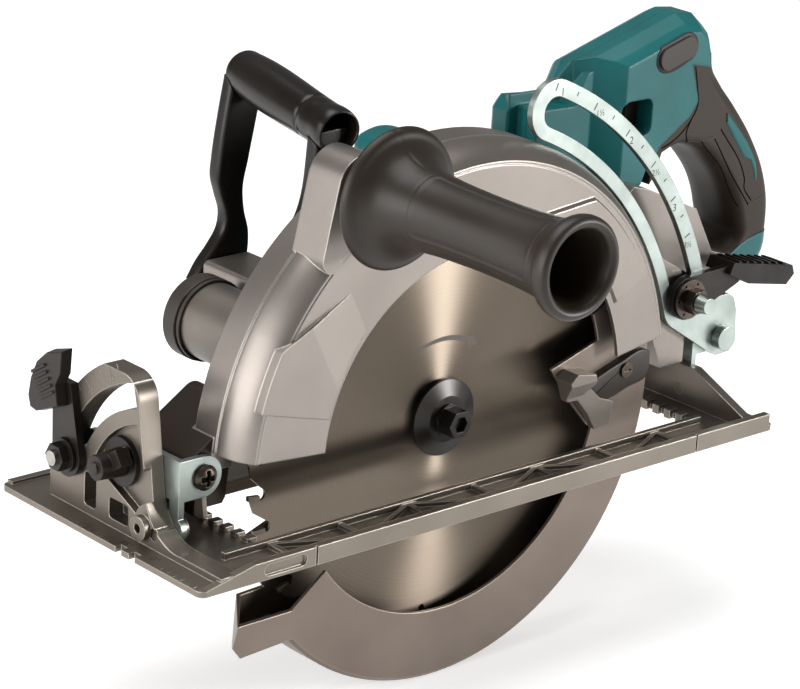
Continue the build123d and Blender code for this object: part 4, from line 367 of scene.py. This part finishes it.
def pillow(runs, seams, mid, half, flat, inset, steps=8):
    """Outlines and depths of a moulding with rounded sides. Seen along its thickness it is runs of
    smooth outline, taken clockwise, each followed by the points of a seam. Ring by ring, an angle goes
    from -90 to 90 degrees: the depth is mid plus or minus flat plus (half - flat) times its sine, and
    each run moves inwards by its inset times one less its cosine."""
    lines = [through(run, OUTLINE_STEP) for run in runs]
    ways = [np.gradient(line, axis=0) for line in lines]
    inward = [np.stack([w[:, 1], -w[:, 0]], axis=1) / np.linalg.norm(w, axis=1)[:, None] for w in ways]
    edge = np.concatenate([np.concatenate([line, np.array(seam, float).reshape(-1, 2)])
                           for line, seam in zip(lines, seams)])
    push = np.concatenate([np.concatenate([side * far, np.zeros((len(seam), 2))])
                           for side, far, seam in zip(inward, np.broadcast_to(inset, len(runs)), seams)])
    turn = np.radians(np.concatenate([np.linspace(-90, 0, steps + 1), np.linspace(0, 90, steps + 1)]))
    hand = np.repeat([-1.0, 1.0], steps + 1)
    depth = mid + hand * flat + (half - flat) * np.sin(turn)
    seen = edge[None] + push[None] * (1 - np.cos(turn))[:, None, None]
    return seen, depth


def across_saw(seen, depth):
    """Rings in the saw's axes from outlines in X and Z and a depth along Y for each."""
    return np.stack([seen[..., 0], np.broadcast_to(depth[:, None], seen.shape[:2]), seen[..., 1]], axis=-1)


def strokes(centre, along, across, out, half):
    """Bars about each centre: the eight corners at plus and minus half of the along, across and out
    directions, which turn right-handed in that order."""
    sign = np.array([[a, b, c] for c in (-1, 1) for b in (-1, 1) for a in (-1, 1)], float)
    ways = np.stack(np.broadcast_arrays(along, across, out), axis=1)
    ways = ways * np.broadcast_to(half, centre.shape)[:, :, None]
    points = (centre[:, None] + np.einsum("ks,nsd->nkd", sign, ways)).reshape(-1, 3)
    side = np.array([[0, 2, 3, 1], [4, 5, 7, 6], [0, 1, 5, 4], [2, 6, 7, 3], [0, 4, 6, 2], [1, 3, 7, 5]])
    return points, (side[None] + 8 * np.arange(len(centre))[:, None, None]).reshape(-1, 4).tolist()


def figures(words, height, deep):
    """Points and faces of a word in mm, lying flat with its middle at zero: the built-in outline font,
    whose figures stand 0.7 of its size, deep mm thick."""
    share, weld = 0.7, 0.002
    line = bpy.data.curves.new("figures", "FONT")
    line.body = words
    line.size = height / share
    line.extrude = deep / 2
    line.resolution_u = 3
    line.align_x, line.align_y = "CENTER", "CENTER"
    holder = bpy.data.objects.new("figures", line)
    bpy.context.scene.collection.objects.link(holder)
    flat = bpy.data.meshes.new_from_object(holder.evaluated_get(bpy.context.evaluated_depsgraph_get()))
    whole = bmesh.new()
    whole.from_mesh(flat)
    bmesh.ops.remove_doubles(whole, verts=whole.verts, dist=weld)
    whole.to_mesh(flat)
    whole.free()
    points = np.empty(len(flat.vertices) * 3)
    flat.vertices.foreach_get("co", points)
    faces = [list(face.vertices) for face in flat.polygons]
    bpy.data.objects.remove(holder)
    bpy.data.curves.remove(line)
    bpy.data.meshes.remove(flat)
    return points.reshape(-1, 3), faces


def placed(shape, centre, right, up):
    """A flat shape stood at centre, its x along right, its y along up and its thickness along right
    cross up."""
    points, faces = shape
    right, up = np.array(right, float), np.array(up, float)
    return np.array(centre) + points @ np.stack([right, up, np.cross(right, up)]), faces


def joined(shapes):
    """One set of points and faces from several, the numbers of later faces moved on past the earlier
    points."""
    start_at = np.cumsum([0] + [len(points) for points, faces in shapes])
    faces = [[int(v) + int(base) for v in face]
             for (points, group), base in zip(shapes, start_at) for face in group]
    return np.concatenate([points for points, faces in shapes]), faces


# Handles

def side_handle():
    """Side handle turned about its own axis: a profile of radius against Y gives the flange's trumpet,
    the slim grip, the rolled rim and the hollow. A rounded panel is sunk on the front of the grip, a
    fine groove runs round it, and a parting line crosses the flange."""
    profile = through([
        (5.6, -24.0), (13.4, -24.0), (14.0, -24.6), (14.0, -32.0), (15.6, -38.0), (21.5, -42.6),
        (29.5, -45.0), (34.6, -46.4), (36.4, -48.8), (35.2, -51.4), (30.5, -54.2), (26.2, -58.4),
        (22.6, -65.0), (20.6, -73.0), (19.4, -84.0), (18.5, -105.0), (18.3, -125.0), (18.8, -145.0),
        (19.8, -158.0), (20.8, -164.0), (22.6, -167.2), (24.9, -170.2), (25.5, -173.8), (24.6, -176.9),
        (22.4, -178.0), (20.2, -177.0), (18.6, -173.6), (17.4, -166.0), (16.0, -150.0), (15.2, -136.0),
        (15.0, -110.0), (14.4, -108.2), (12.5, -108.0), (1.0, -108.0),
    ], step=0.8)
    grip_radius = 19.0
    panel_turn, panel_mid = math.radians(150.0), -119.0
    panel_wide, panel_long, panel_corner, panel_deep, panel_fade = 15.5, 37.5, 2.5, 0.55, 0.5
    groove_off, groove_wide, groove_deep = 2.2, 0.6, 0.3
    seam_turn, seam_wide, seam_deep = math.radians(97.0), 0.5, 0.3
    seam_end, seam_fade, flange_rim = -72.0, 6.0, -49.0
    turn = full_turn(160)
    r, y = profile[:, :1], profile[:, 1:]
    outer = (np.arange(len(r)) < np.argmin(y[:, 0]))[:, None]
    from_panel, from_seam = (grip_radius * (np.mod(turn - at + np.pi, 2 * np.pi) - np.pi)
                             for at in (panel_turn, seam_turn))
    over = np.abs(from_panel) - panel_wide
    past = np.abs(y - panel_mid) - panel_long
    off = np.hypot(np.maximum(over, 0), np.maximum(past, 0)) + np.minimum(np.maximum(over, past), 0)
    off = off - panel_corner
    sunk = panel_deep * (0.5 - 0.5 * np.tanh(off / panel_fade))
    sunk = sunk + groove_deep * np.exp(-((off - groove_off) / groove_wide) ** 2)
    on_flange = np.clip((y - seam_end) / seam_fade, 0, 1) * (y < flange_rim)
    sunk = sunk + seam_deep * np.exp(-(from_seam / seam_wide) ** 2) * on_flange
    ring = spun(SIDE_HANDLE, r - np.where(outer, sunk, 0.0), y, turn)
    made = piece("side_handle", *skin(ring), "satin_nylon", "black_plastic", "saw_body", crease=60)
    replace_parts(made, "side_handle_grip")


def rear_grip():
    """Rear grip, its teal stripe and end cap as pillows across the saw: outlines in X and Z, thickness
    along Y."""
    rubber = pillow(
        [[(229.6, 196.0), (231.0, 188.0), (238.8, 177.0), (252.8, 161.8), (269.4, 141.4), (282.4, 119.2),
          (288.6, 98.2), (289.2, 86.0), (288.6, 74.0)],
         [(241.0, 76.2), (253.0, 78.2), (258.2, 82.5), (256.6, 92.0), (249.6, 109.0), (236.0, 126.0),
          (221.0, 138.6), (205.5, 143.0), (190.5, 138.8)]],
        [[(279.0, 72.0), (270.0, 64.0), (262.0, 57.5), (238.5, 57.5), (238.5, 64.0)],
         [(184.0, 131.6), (179.5, 126.0), (181.5, 150.0), (205.0, 163.5), (210.5, 171.0), (204.0, 193.0)]],
        GRIP_MID, half=20.8, flat=6.0, inset=(11.5, 8.0), steps=16)
    cap = pillow(
        [[(289.4, 81.4), (288.9, 72.0), (286.0, 64.2), (280.8, 59.0), (274.8, 57.0), (250.0, 57.0)]],
        [[(250.0, 69.5), (254.7, 72.9), (260.6, 76.2), (268.1, 79.2)]],
        GRIP_MID, half=21.0, flat=6.0, inset=11.3)
    stripe = pillow(
        [[(240.0, 159.4), (250.8, 148.4), (260.9, 136.7), (268.9, 122.8), (270.2, 116.0)],
         [(268.6, 113.8), (267.4, 119.0), (263.4, 127.6)],
         [(257.6, 130.2), (248.6, 141.4), (239.4, 153.4)]],
        [[], [], []], GRIP_MID, half=21.3, flat=20.4, inset=0.9, steps=4)
    for name, shape, finish, slot, node in (
            ("rear_grip", rubber, "soft_rubber", "black_rubber", "grip_rubber"),
            ("rear_grip_cap", cap, "teal_nylon", "teal_plastic", "grip_end_cap"),
            ("rear_grip_stripe", stripe, "teal_nylon", "teal_plastic", "grip_inlay")):
        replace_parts(piece(name, *skin(across_saw(*shape)), finish, slot, "saw_body"), node)
    grip_lines(rubber)


def near_side(shape, path):
    """Depth of a pillow's near side under each point of a path: the way from the nearest point of its
    full outline, as a share of the inset there, is one less the cosine of the ring's angle, and the
    sine of that angle gives the depth."""
    seen, depth = shape
    last = len(depth) // 2 - 1
    gap = np.linalg.norm(path[:, None] - seen[last][None], axis=-1)
    nearest = np.argmin(gap, axis=1)
    least_inset = 0.01
    inset = np.maximum(np.linalg.norm(seen[last] - seen[0], axis=1)[nearest], least_inset)
    cosine = np.clip(1 - gap[np.arange(len(path)), nearest] / inset, 0, 1)
    return depth[last] - (depth[last] - depth[0]) * np.sqrt(1 - cosine ** 2)


def grip_lines(rubber):
    """Moulded lines of the grip's panel: a flat bead carried along each smooth line on the grip's near
    side. The dark ones are near-black painted shade standing for its grooves, and the pale ones its raised
    edges."""
    grooves = [[(213.4, 164.6), (207.4, 154.6), (206.6, 152.0), (211.6, 144.6)],
               [(220.7, 145.0), (240.8, 126.1), (258.4, 99.6)],
               [(231.0, 145.1), (246.7, 123.5), (265.0, 100.1)],
               [(235.6, 150.2), (258.2, 120.4), (259.8, 116.2), (259.8, 112.4), (267.1, 102.6)],
               [(187.5, 146.0), (196.5, 149.0), (206.0, 155.5), (214.3, 168.5), (212.6, 178.0),
                (209.6, 190.5)]]
    edges = [[(211.6, 145.6), (214.6, 145.4), (231.3, 146.4)], [(264.5, 99.9), (276.4, 103.2)]]
    proud, thick = 0.06, 0.24
    turn = full_turn(8)
    # The groove beads are near-black painted shade where the grooves run
    for name, lines, wide, finish in (("rear_grip_groove_shade", grooves, 0.42, "groove_rubber"),
                                      ("rear_grip_edges", edges, 0.3, "satin_nylon")):
        beads = []
        for line in lines:
            path = through(line, step=1.5)
            way = np.gradient(path, axis=0)
            way /= np.linalg.norm(way, axis=1)[:, None]
            aside = np.stack([-way[:, 1], way[:, 0]], axis=1)
            side = path[:, None] + wide * np.cos(turn)[None, :, None] * aside[:, None]
            deep = near_side(rubber, path)[:, None] - proud - thick * np.sin(turn)
            beads.append(skin(np.stack([side[..., 0], deep, side[..., 1]], axis=-1)))
        piece(name, *joined(beads), finish, "black_rubber", "saw_body")


def carry_handle():
    """Carry handle: two cranked legs as pillows across the saw, and a hollow tube between them, a
    profile of radius against length turned about the line from the tube's near end to its far end."""
    far_leg = pillow(
        [[(-86.0, 95.5), (-80.5, 104.0), (-73.0, 112.5), (-67.3, 121.0), (-66.2, 129.0), (-69.6, 140.0),
          (-72.6, 150.5), (-72.0, 160.0), (-68.6, 184.0), (-65.0, 204.0)],
         [(-43.0, 204.0), (-46.5, 184.0), (-51.6, 158.0), (-54.6, 142.0), (-53.2, 130.0), (-49.8, 118.0),
          (-49.8, 106.0), (-52.0, 95.5)]],
        [[], [(-74.0, 89.2)]], mid=106.25, half=4.75, flat=2.2, inset=2.4, steps=5)
    near_leg = pillow(
        [[(-80.5, 96.0), (-87.0, 110.0), (-90.0, 124.0), (-89.4, 141.0), (-86.6, 148.0), (-83.6, 154.0),
          (-77.0, 197.0)],
         [(-57.0, 197.0), (-63.6, 154.0), (-66.4, 147.0), (-67.4, 138.0), (-62.5, 96.0)]],
        [[], []], mid=22.4, half=4.7, flat=2.2, inset=2.4, steps=5)
    near, far = np.array([-67.0, 17.0, 197.0]), np.array([-53.5, 105.0, 204.5])
    span = np.linalg.norm(far - near)
    way = (far - near) / span
    level = np.cross(ALONG_Z, way)
    level /= np.linalg.norm(level)
    rise = np.cross(way, level)
    profile = through([
        (1.0, 26.0), (9.0, 26.0), (10.0, 25.0), (10.0, 5.0), (10.3, -3.0), (10.9, -4.7), (11.6, -4.6),
        (12.0, -3.2), (12.0, 10.0), (12.0, span - 2.0), (11.6, span + 2.0), (9.6, span + 4.4),
        (6.0, span + 5.2), (1.0, span + 5.4),
    ], step=0.9)
    turn = full_turn(64)
    spoke = np.cos(turn)[:, None] * level + np.sin(turn)[:, None] * rise
    tube = near + profile[:, 1, None, None] * way + profile[:, 0, None, None] * spoke
    shapes = [skin(across_saw(*far_leg)), skin(across_saw(*near_leg)), skin(tube[::-1])]
    made = piece("carry_handle_bar", *joined(shapes), "glossy_nylon", "black_plastic", "saw_body")
    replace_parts(made, "carry_handle")


def housing_shoulder():
    """Teal shoulder on top of the motor block, ahead of the handle: a pillow across the saw, its foot
    within the block."""
    form = pillow(
        [[(15.5, 150.0), (15.4, 157.0), (18.5, 162.6), (25.0, 165.4), (40.0, 165.4), (48.0, 161.0),
          (52.0, 151.5)]],
        [[]], mid=80.5, half=17.5, flat=9.0, inset=3.5, steps=6)
    piece("housing_shoulder", *skin(across_saw(*form)), "teal_nylon", "teal_plastic", "saw_body")


def button_surround():
    """Black rim round the lock-off button: a pill-shaped pillow whose middle line leans with the
    button."""
    middle, radius, half_long, lean = np.array([193.5, 200.5]), 8.6, 8.2, math.radians(16.0)
    turn = np.linspace(0.5 * np.pi, -1.5 * np.pi, 25)[:-1]
    along, up = np.array([math.cos(lean), math.sin(lean)]), np.array([-math.sin(lean), math.cos(lean)])
    end = np.where(np.cos(turn) > 0, half_long, -half_long)
    pill = np.stack([radius * np.cos(turn) + end, radius * np.sin(turn)], axis=1)
    line = middle + pill[:, :1] * along + pill[:, 1:] * up
    rim = pillow([line], [[]], mid=29.0, half=0.45, flat=0.1, inset=0.5, steps=3)
    piece("lock_off_surround", *skin(across_saw(*rim)), "black_nylon", "black_plastic", "saw_body")


# Small turned pieces

def pan_head(centre, out, radius, rise, cross):
    """Pan head of a screw, turned about out: a dome whose height falls with the 2.6th power of the
    reach to 0.4 of its rise at the rim, less a cross sunk by cross mm whose arms fade out at 0.17 and
    0.6 of the radius."""
    power, drop = 2.6, 0.6
    arm_wide, arm_long, wide_fade, long_fade = 0.17, 0.6, 0.03, 0.04
    out = np.array(out, float)
    first = np.roll(np.abs(out), 1)
    second = np.cross(out, first)
    share = np.concatenate([np.linspace(0.02, 1.0, 26), [1.0]])[:, None]
    turn = full_turn(72)
    a, b = share * np.cos(turn), share * np.sin(turn)
    arms = [0.25 * (1 + np.tanh((arm_wide - np.abs(u)) / wide_fade))
            * (1 + np.tanh((arm_long - np.abs(v)) / long_fade)) for u, v in ((a, b), (b, a))]
    height = rise * (1 - drop * share ** power) - cross * np.maximum(*arms)
    height[-1] = 0.0
    spots = radius * (a[..., None] * first + b[..., None] * second) + height[..., None] * out
    return skin(np.array(centre) + spots)


def screw_heads():
    """Pan heads of the two screws that the saw swings on for its depth, the near one's cross recess
    given painted shade by two near-black bars, and the plain rivet end of the bevel stop's knob."""
    low, high = (np.array(corner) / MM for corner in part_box("pivot_screws"))
    x, z = ((low + high) / 2)[[0, 2]]
    radius, deep, proud, sunk = 6.8, 3.5, 0.9, 2.4
    cross_deep, cross_half = 1.2, np.array([3.9, 0.95, 0.3])
    heads = [pan_head((x, low[1] + deep, z), -ALONG_Y, radius, deep + proud, sunk),
             pan_head((x, high[1] - deep, z), ALONG_Y, radius, deep, sunk)]
    made = piece("pivot_screw_heads", *joined(heads), "brown_steel", "black_steel", "saw_body")
    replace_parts(made, "pivot_screws")
    # Two near-black bars at the bottom of the near head's cross recess: painted shade
    bars = strokes(np.array([[x, low[1] + cross_deep, z]] * 2), np.stack([ALONG_X, ALONG_Z]),
                   np.stack([ALONG_Z, -ALONG_X]), -ALONG_Y, cross_half)
    piece("pivot_screw_cross_shade", *bars, "groove_rubber", "black_steel", "saw_body")
    low, high = (np.array(corner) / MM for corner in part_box("stop_knob"))
    y, z = ((low + high) / 2)[1:]
    radius, rise = 3.1, 0.4
    rivet = pan_head((low[0] + rise, y, z), -ALONG_X, radius, rise, cross=0.0)
    piece("stop_knob_rivet", *rivet, "bright_steel", "bright_steel", "bevel_stop_knob")


def nozzle_cap():
    """Plain cap on the dust nozzle: a profile of radius against Y turned about the nozzle's axis, with
    a thin gap round it and its rim a little proud over the lower half."""
    low, high = (np.array(corner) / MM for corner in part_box("dust_cap"))
    axis = ((low + high) / 2)[[0, 2]]
    profile = np.array([
        (1.0, 74.2), (20.8, 74.2), (20.9, 74.0), (20.9, 62.0), (21.9, 62.0), (22.2, 62.3), (22.2, 64.2),
        (21.3, 64.4), (21.3, 65.2), (22.0, 65.4), (22.3, 65.8), (22.3, 74.6), (21.9, 75.5), (21.0, 76.0),
        (18.5, 76.0), (1.0, 75.6),
    ])
    rim_radius, rim_start = 21.9, 65.0
    proud, proud_mid, proud_from, proud_fade = 0.25, math.radians(215.0), 0.15, 0.03
    turn = full_turn(120)
    r, y = profile[:, :1], profile[:, 1:]
    lower = 1 + np.tanh((np.cos(turn - proud_mid) - proud_from) / proud_fade)
    ring = spun(axis, r + proud * lower * ((r > rim_radius) & (y > rim_start)), y, turn)
    made = piece("nozzle_cap", *skin(ring), "dark_nylon", "dark_plastic", "saw_body", crease=30)
    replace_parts(made, "dust_cap")


def guard_lever_arm():
    """Lever bar on the lower guard: a pillow across the saw that tapers towards its tip."""
    bar = pillow(
        [[(97.2, 30.4), (96.4, 36.0), (99.4, 40.6), (106.1, 43.2), (117.2, 46.6), (138.0, 50.2),
          (140.6, 48.6)],
         [(141.4, 40.0), (139.6, 34.6), (125.0, 30.2), (110.4, 26.4), (102.0, 26.6), (97.2, 30.4)]],
        [[], []], mid=-16.35, half=2.35, flat=1.2, inset=1.1, steps=4)
    made = piece("guard_lever_arm", *skin(across_saw(*bar)), "satin_nylon", "black_steel", "swinging_guard")
    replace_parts(made, "guard_lever_bar")


# Scales and markings

def depth_scale():
    """Cutting-depth scale on the depth arm's near face: bars along the radius of its slot, every
    quarter inch, and a figure after each half inch. One inch stands at 68.2 degrees, and the steps
    close up evenly to 27.3 at three and a half."""
    first_mark, step, closing, figure_after = 68.19, 4.61, 0.052, 1.5
    edge_gap, figure_gap, figure_deep = 0.3, 4.0, 0.1
    bar_wide, bar_thick = 0.36, 0.05
    quarter = np.arange(11)
    turn = np.radians(first_mark - step * quarter + closing * quarter ** 2)
    radial = np.stack([np.cos(turn), 0 * turn, np.sin(turn)], axis=1)
    across = np.stack([-np.sin(turn), 0 * turn, np.cos(turn)], axis=1)
    long = np.where(quarter % 2 == 0, 2.2, 1.2)
    half = np.stack([long, np.full(11, bar_wide), np.full(11, bar_thick)], axis=1)
    middle = np.array([SLOT_CENTRE[0], ARM_FACE, SLOT_CENTRE[1]])
    spots = middle + (ARM_EDGE - edge_gap - long)[:, None] * radial
    shapes = [strokes(spots, radial, across, -ALONG_Y, half)]
    for at, words in zip(turn[::2] - math.radians(figure_after),
                         ("1", "1\u00bd", "2", "2\u00bd", "3", "3\u00bd")):
        spot = middle + (ARM_EDGE - figure_gap) * np.array([math.cos(at), 0.0, math.sin(at)])
        height = 4.3 if len(words) == 1 else 3.5
        shapes.append(placed(figures(words, height, figure_deep), spot, ALONG_X, ALONG_Z))
    piece("depth_scale", *joined(shapes), "marking_paint", "black_plastic", "depth_guide")


def bevel_scale():
    """Bevel scale raised on the quadrant's face: a bar every five degrees along the radius of the tilt
    axis from the clamp's place at no tilt, and a figure at every fifteen."""
    clamp_turn, scale_edge, figure_reach, figure_high, figure_deep = 17.5, 86.6, 80.0, 3.4, 0.24
    bar_wide, bar_thick = 0.3, 0.12
    tilt = np.arange(0, 51, 5)
    turn = np.radians(clamp_turn + tilt)
    radial = np.stack([0 * turn, np.cos(turn), np.sin(turn)], axis=1)
    across = np.stack([0 * turn, np.sin(turn), -np.cos(turn)], axis=1)
    long = np.where(tilt % 15 == 0, 1.9, 1.2)
    half = np.stack([long, np.full(len(tilt), bar_wide), np.full(len(tilt), bar_thick)], axis=1)
    middle = np.array([QUADRANT_FACE, *BEVEL_AXIS])
    spots = middle + (scale_edge - long)[:, None] * radial
    shapes = [strokes(spots, radial, across, -ALONG_X, half)]
    for words in ("15", "30", "45"):
        angle = math.radians(clamp_turn + int(words))
        spot = middle + figure_reach * np.array([0.0, math.cos(angle), math.sin(angle)])
        shapes.append(placed(figures(words, figure_high, figure_deep), spot, -ALONG_Y, ALONG_Z))
    piece("bevel_scale", *joined(shapes), "bronze_casting", "base_magnesium", "base")


def base_scale():
    """Sight-line scale on the base's front edge: raised bars along X at one pitch of Y on each side of
    the two notches, and the notches' printed figures, one for an upright cut and one for a mitred
    cut."""
    pitch, bar_x, figure_x, figure_high, figure_deep = 5.3, -198.4, -194.6, 4.2, 0.08
    bar_half = np.array([1.6, 0.25, 0.12])
    across = np.concatenate([np.arange(21.4, 53.0, pitch), np.arange(-48.0, -17.0, pitch)])
    centre = np.stack([np.full(len(across), bar_x), across, np.full(len(across), SOLE_TOP)], axis=1)
    bars = strokes(centre, ALONG_X, ALONG_Y, ALONG_Z, bar_half)
    piece("base_ticks", *bars, "bronze_casting", "base_magnesium", "base")
    words = [placed(figures(word, figure_high, figure_deep), (figure_x, y, SOLE_TOP), -ALONG_Y, ALONG_X)
             for word, y in (("45\u00b0", 13.0), ("0\u00b0", -10.4))]
    piece("base_figures", *joined(words), "marking_paint", "black_plastic", "base")


def blade_arrow():
    """Turning-direction arrow printed on the blade: a flat bar carried round the arbor whose half-width
    swells along the way, jumps out at the head and closes to its point."""
    radius, thick = 42.8, 0.03
    turn = np.radians(np.concatenate([np.linspace(114, 65, 26), np.linspace(64.9, 54.5, 8)]))[:, None]
    wide = np.concatenate([np.linspace(0.8, 1.7, 26), np.linspace(4.2, 0.05, 8)])[:, None]
    edge = np.array([[-1, -thick], [1, -thick], [1, thick], [-1, thick]])
    ring = spun(ARBOR[[0, 2]], radius + wide * edge[:, 0], BLADE_FACE + edge[:, 1], turn)
    piece("blade_arrow", *skin(ring), "laser_mark", "black_plastic", "blade_set")


side_handle()
rear_grip()
carry_handle()
housing_shoulder()
button_surround()
screw_heads()
nozzle_cap()
guard_lever_arm()
depth_scale()
bevel_scale()
base_scale()
blade_arrow()


# Studio

def photo_camera():
    """A long lens 1.7 m from the blade's middle: it sees the arbor at pixel seen of a frame of that
    size, with a focal length in pixels and a small roll."""
    turn, rise, roll = (math.radians(v) for v in (-42.55, 19.64, 3.33))
    focal, reach, seen, size = 3200.0, 1.6949, (437.5, 414.5), (800, 689)
    back = Vector((math.sin(turn) * math.cos(rise), -math.cos(turn) * math.cos(rise), math.sin(rise)))
    right = Vector((math.cos(turn), math.sin(turn), 0))
    up = back.cross(right)
    across = math.cos(roll) * right + math.sin(roll) * up
    upward = -math.sin(roll) * right + math.cos(roll) * up
    off_x = (seen[0] - size[0] / 2) * reach / focal
    off_y = (seen[1] - size[1] / 2) * reach / focal
    spot = Vector(ARBOR * MM) + back * reach - across * off_x + upward * off_y
    lens = bpy.data.cameras.new("camera")
    lens.sensor_width = 36.0
    lens.lens = focal / size[0] * lens.sensor_width
    made = bpy.data.objects.new("camera", lens)
    turned = Matrix((across, upward, back)).transposed().to_4x4()
    made.matrix_world = Matrix.Translation(spot) @ turned
    bpy.context.scene.collection.objects.link(made)
    bpy.context.scene.camera = made


def lamp(name, place, size, power, spread=180.0):
    """A soft box at place that faces the saw's middle, size wide and tall, in metres and watts, its
    light kept within spread degrees."""
    light = bpy.data.lights.new(name, "AREA")
    light.shape = "RECTANGLE"
    light.size, light.size_y = size
    light.energy = power
    light.spread = math.radians(spread)
    made = bpy.data.objects.new(name, light)
    made.location = place
    aim = Vector((0.0, 0.0, 0.05))
    made.rotation_euler = (aim - Vector(place)).to_track_quat("-Z", "Y").to_euler()
    bpy.context.scene.collection.objects.link(made)


def studio():
    """Pale light-table floor under the lowest piece, a wide soft box at the left, a small one at the
    right, one above, and a dim surround."""
    level, reach = cad_box[0][2], 14.0
    mesh = bpy.data.meshes.new("floor")
    mesh.from_pydata([(x * reach, y * reach, level) for x, y in ((-1, -1), (1, -1), (1, 1), (-1, 1))], [],
                     [(0, 1, 2, 3)])
    floor = bpy.data.objects.new("floor", mesh)
    bpy.context.scene.collection.objects.link(floor)
    made, tree, _, out = start("pale_floor")
    shader = add(tree, "BsdfPrincipled", Base_Color=srgb("#e8e8e8"), Roughness=0.9,
                 Emission_Color=srgb("#ffffff"), Emission_Strength=0.45)
    tree.links.new(shader.outputs[0], out.inputs[0])
    mesh.materials.append(made)
    world = bpy.data.worlds.new("studio")
    world.use_nodes = True
    glow = world.node_tree.nodes["Background"]
    glow.inputs["Color"].default_value = (1.0, 0.985, 0.965, 1.0)
    glow.inputs["Strength"].default_value = 0.2
    bpy.context.scene.world = world
    bpy.context.scene.view_settings.view_transform = "Standard"
    lamp("key", (-2.1, 0.35, 0.6), (2.4, 1.2), 48.0)
    lamp("fan", (1.28, -1.5, 0.36), (0.35, 0.55), 3.0, spread=50.0)
    lamp("top", (-0.2, 0.4, 2.8), (2.4, 2.4), 75.0)


photo_camera()
studio()
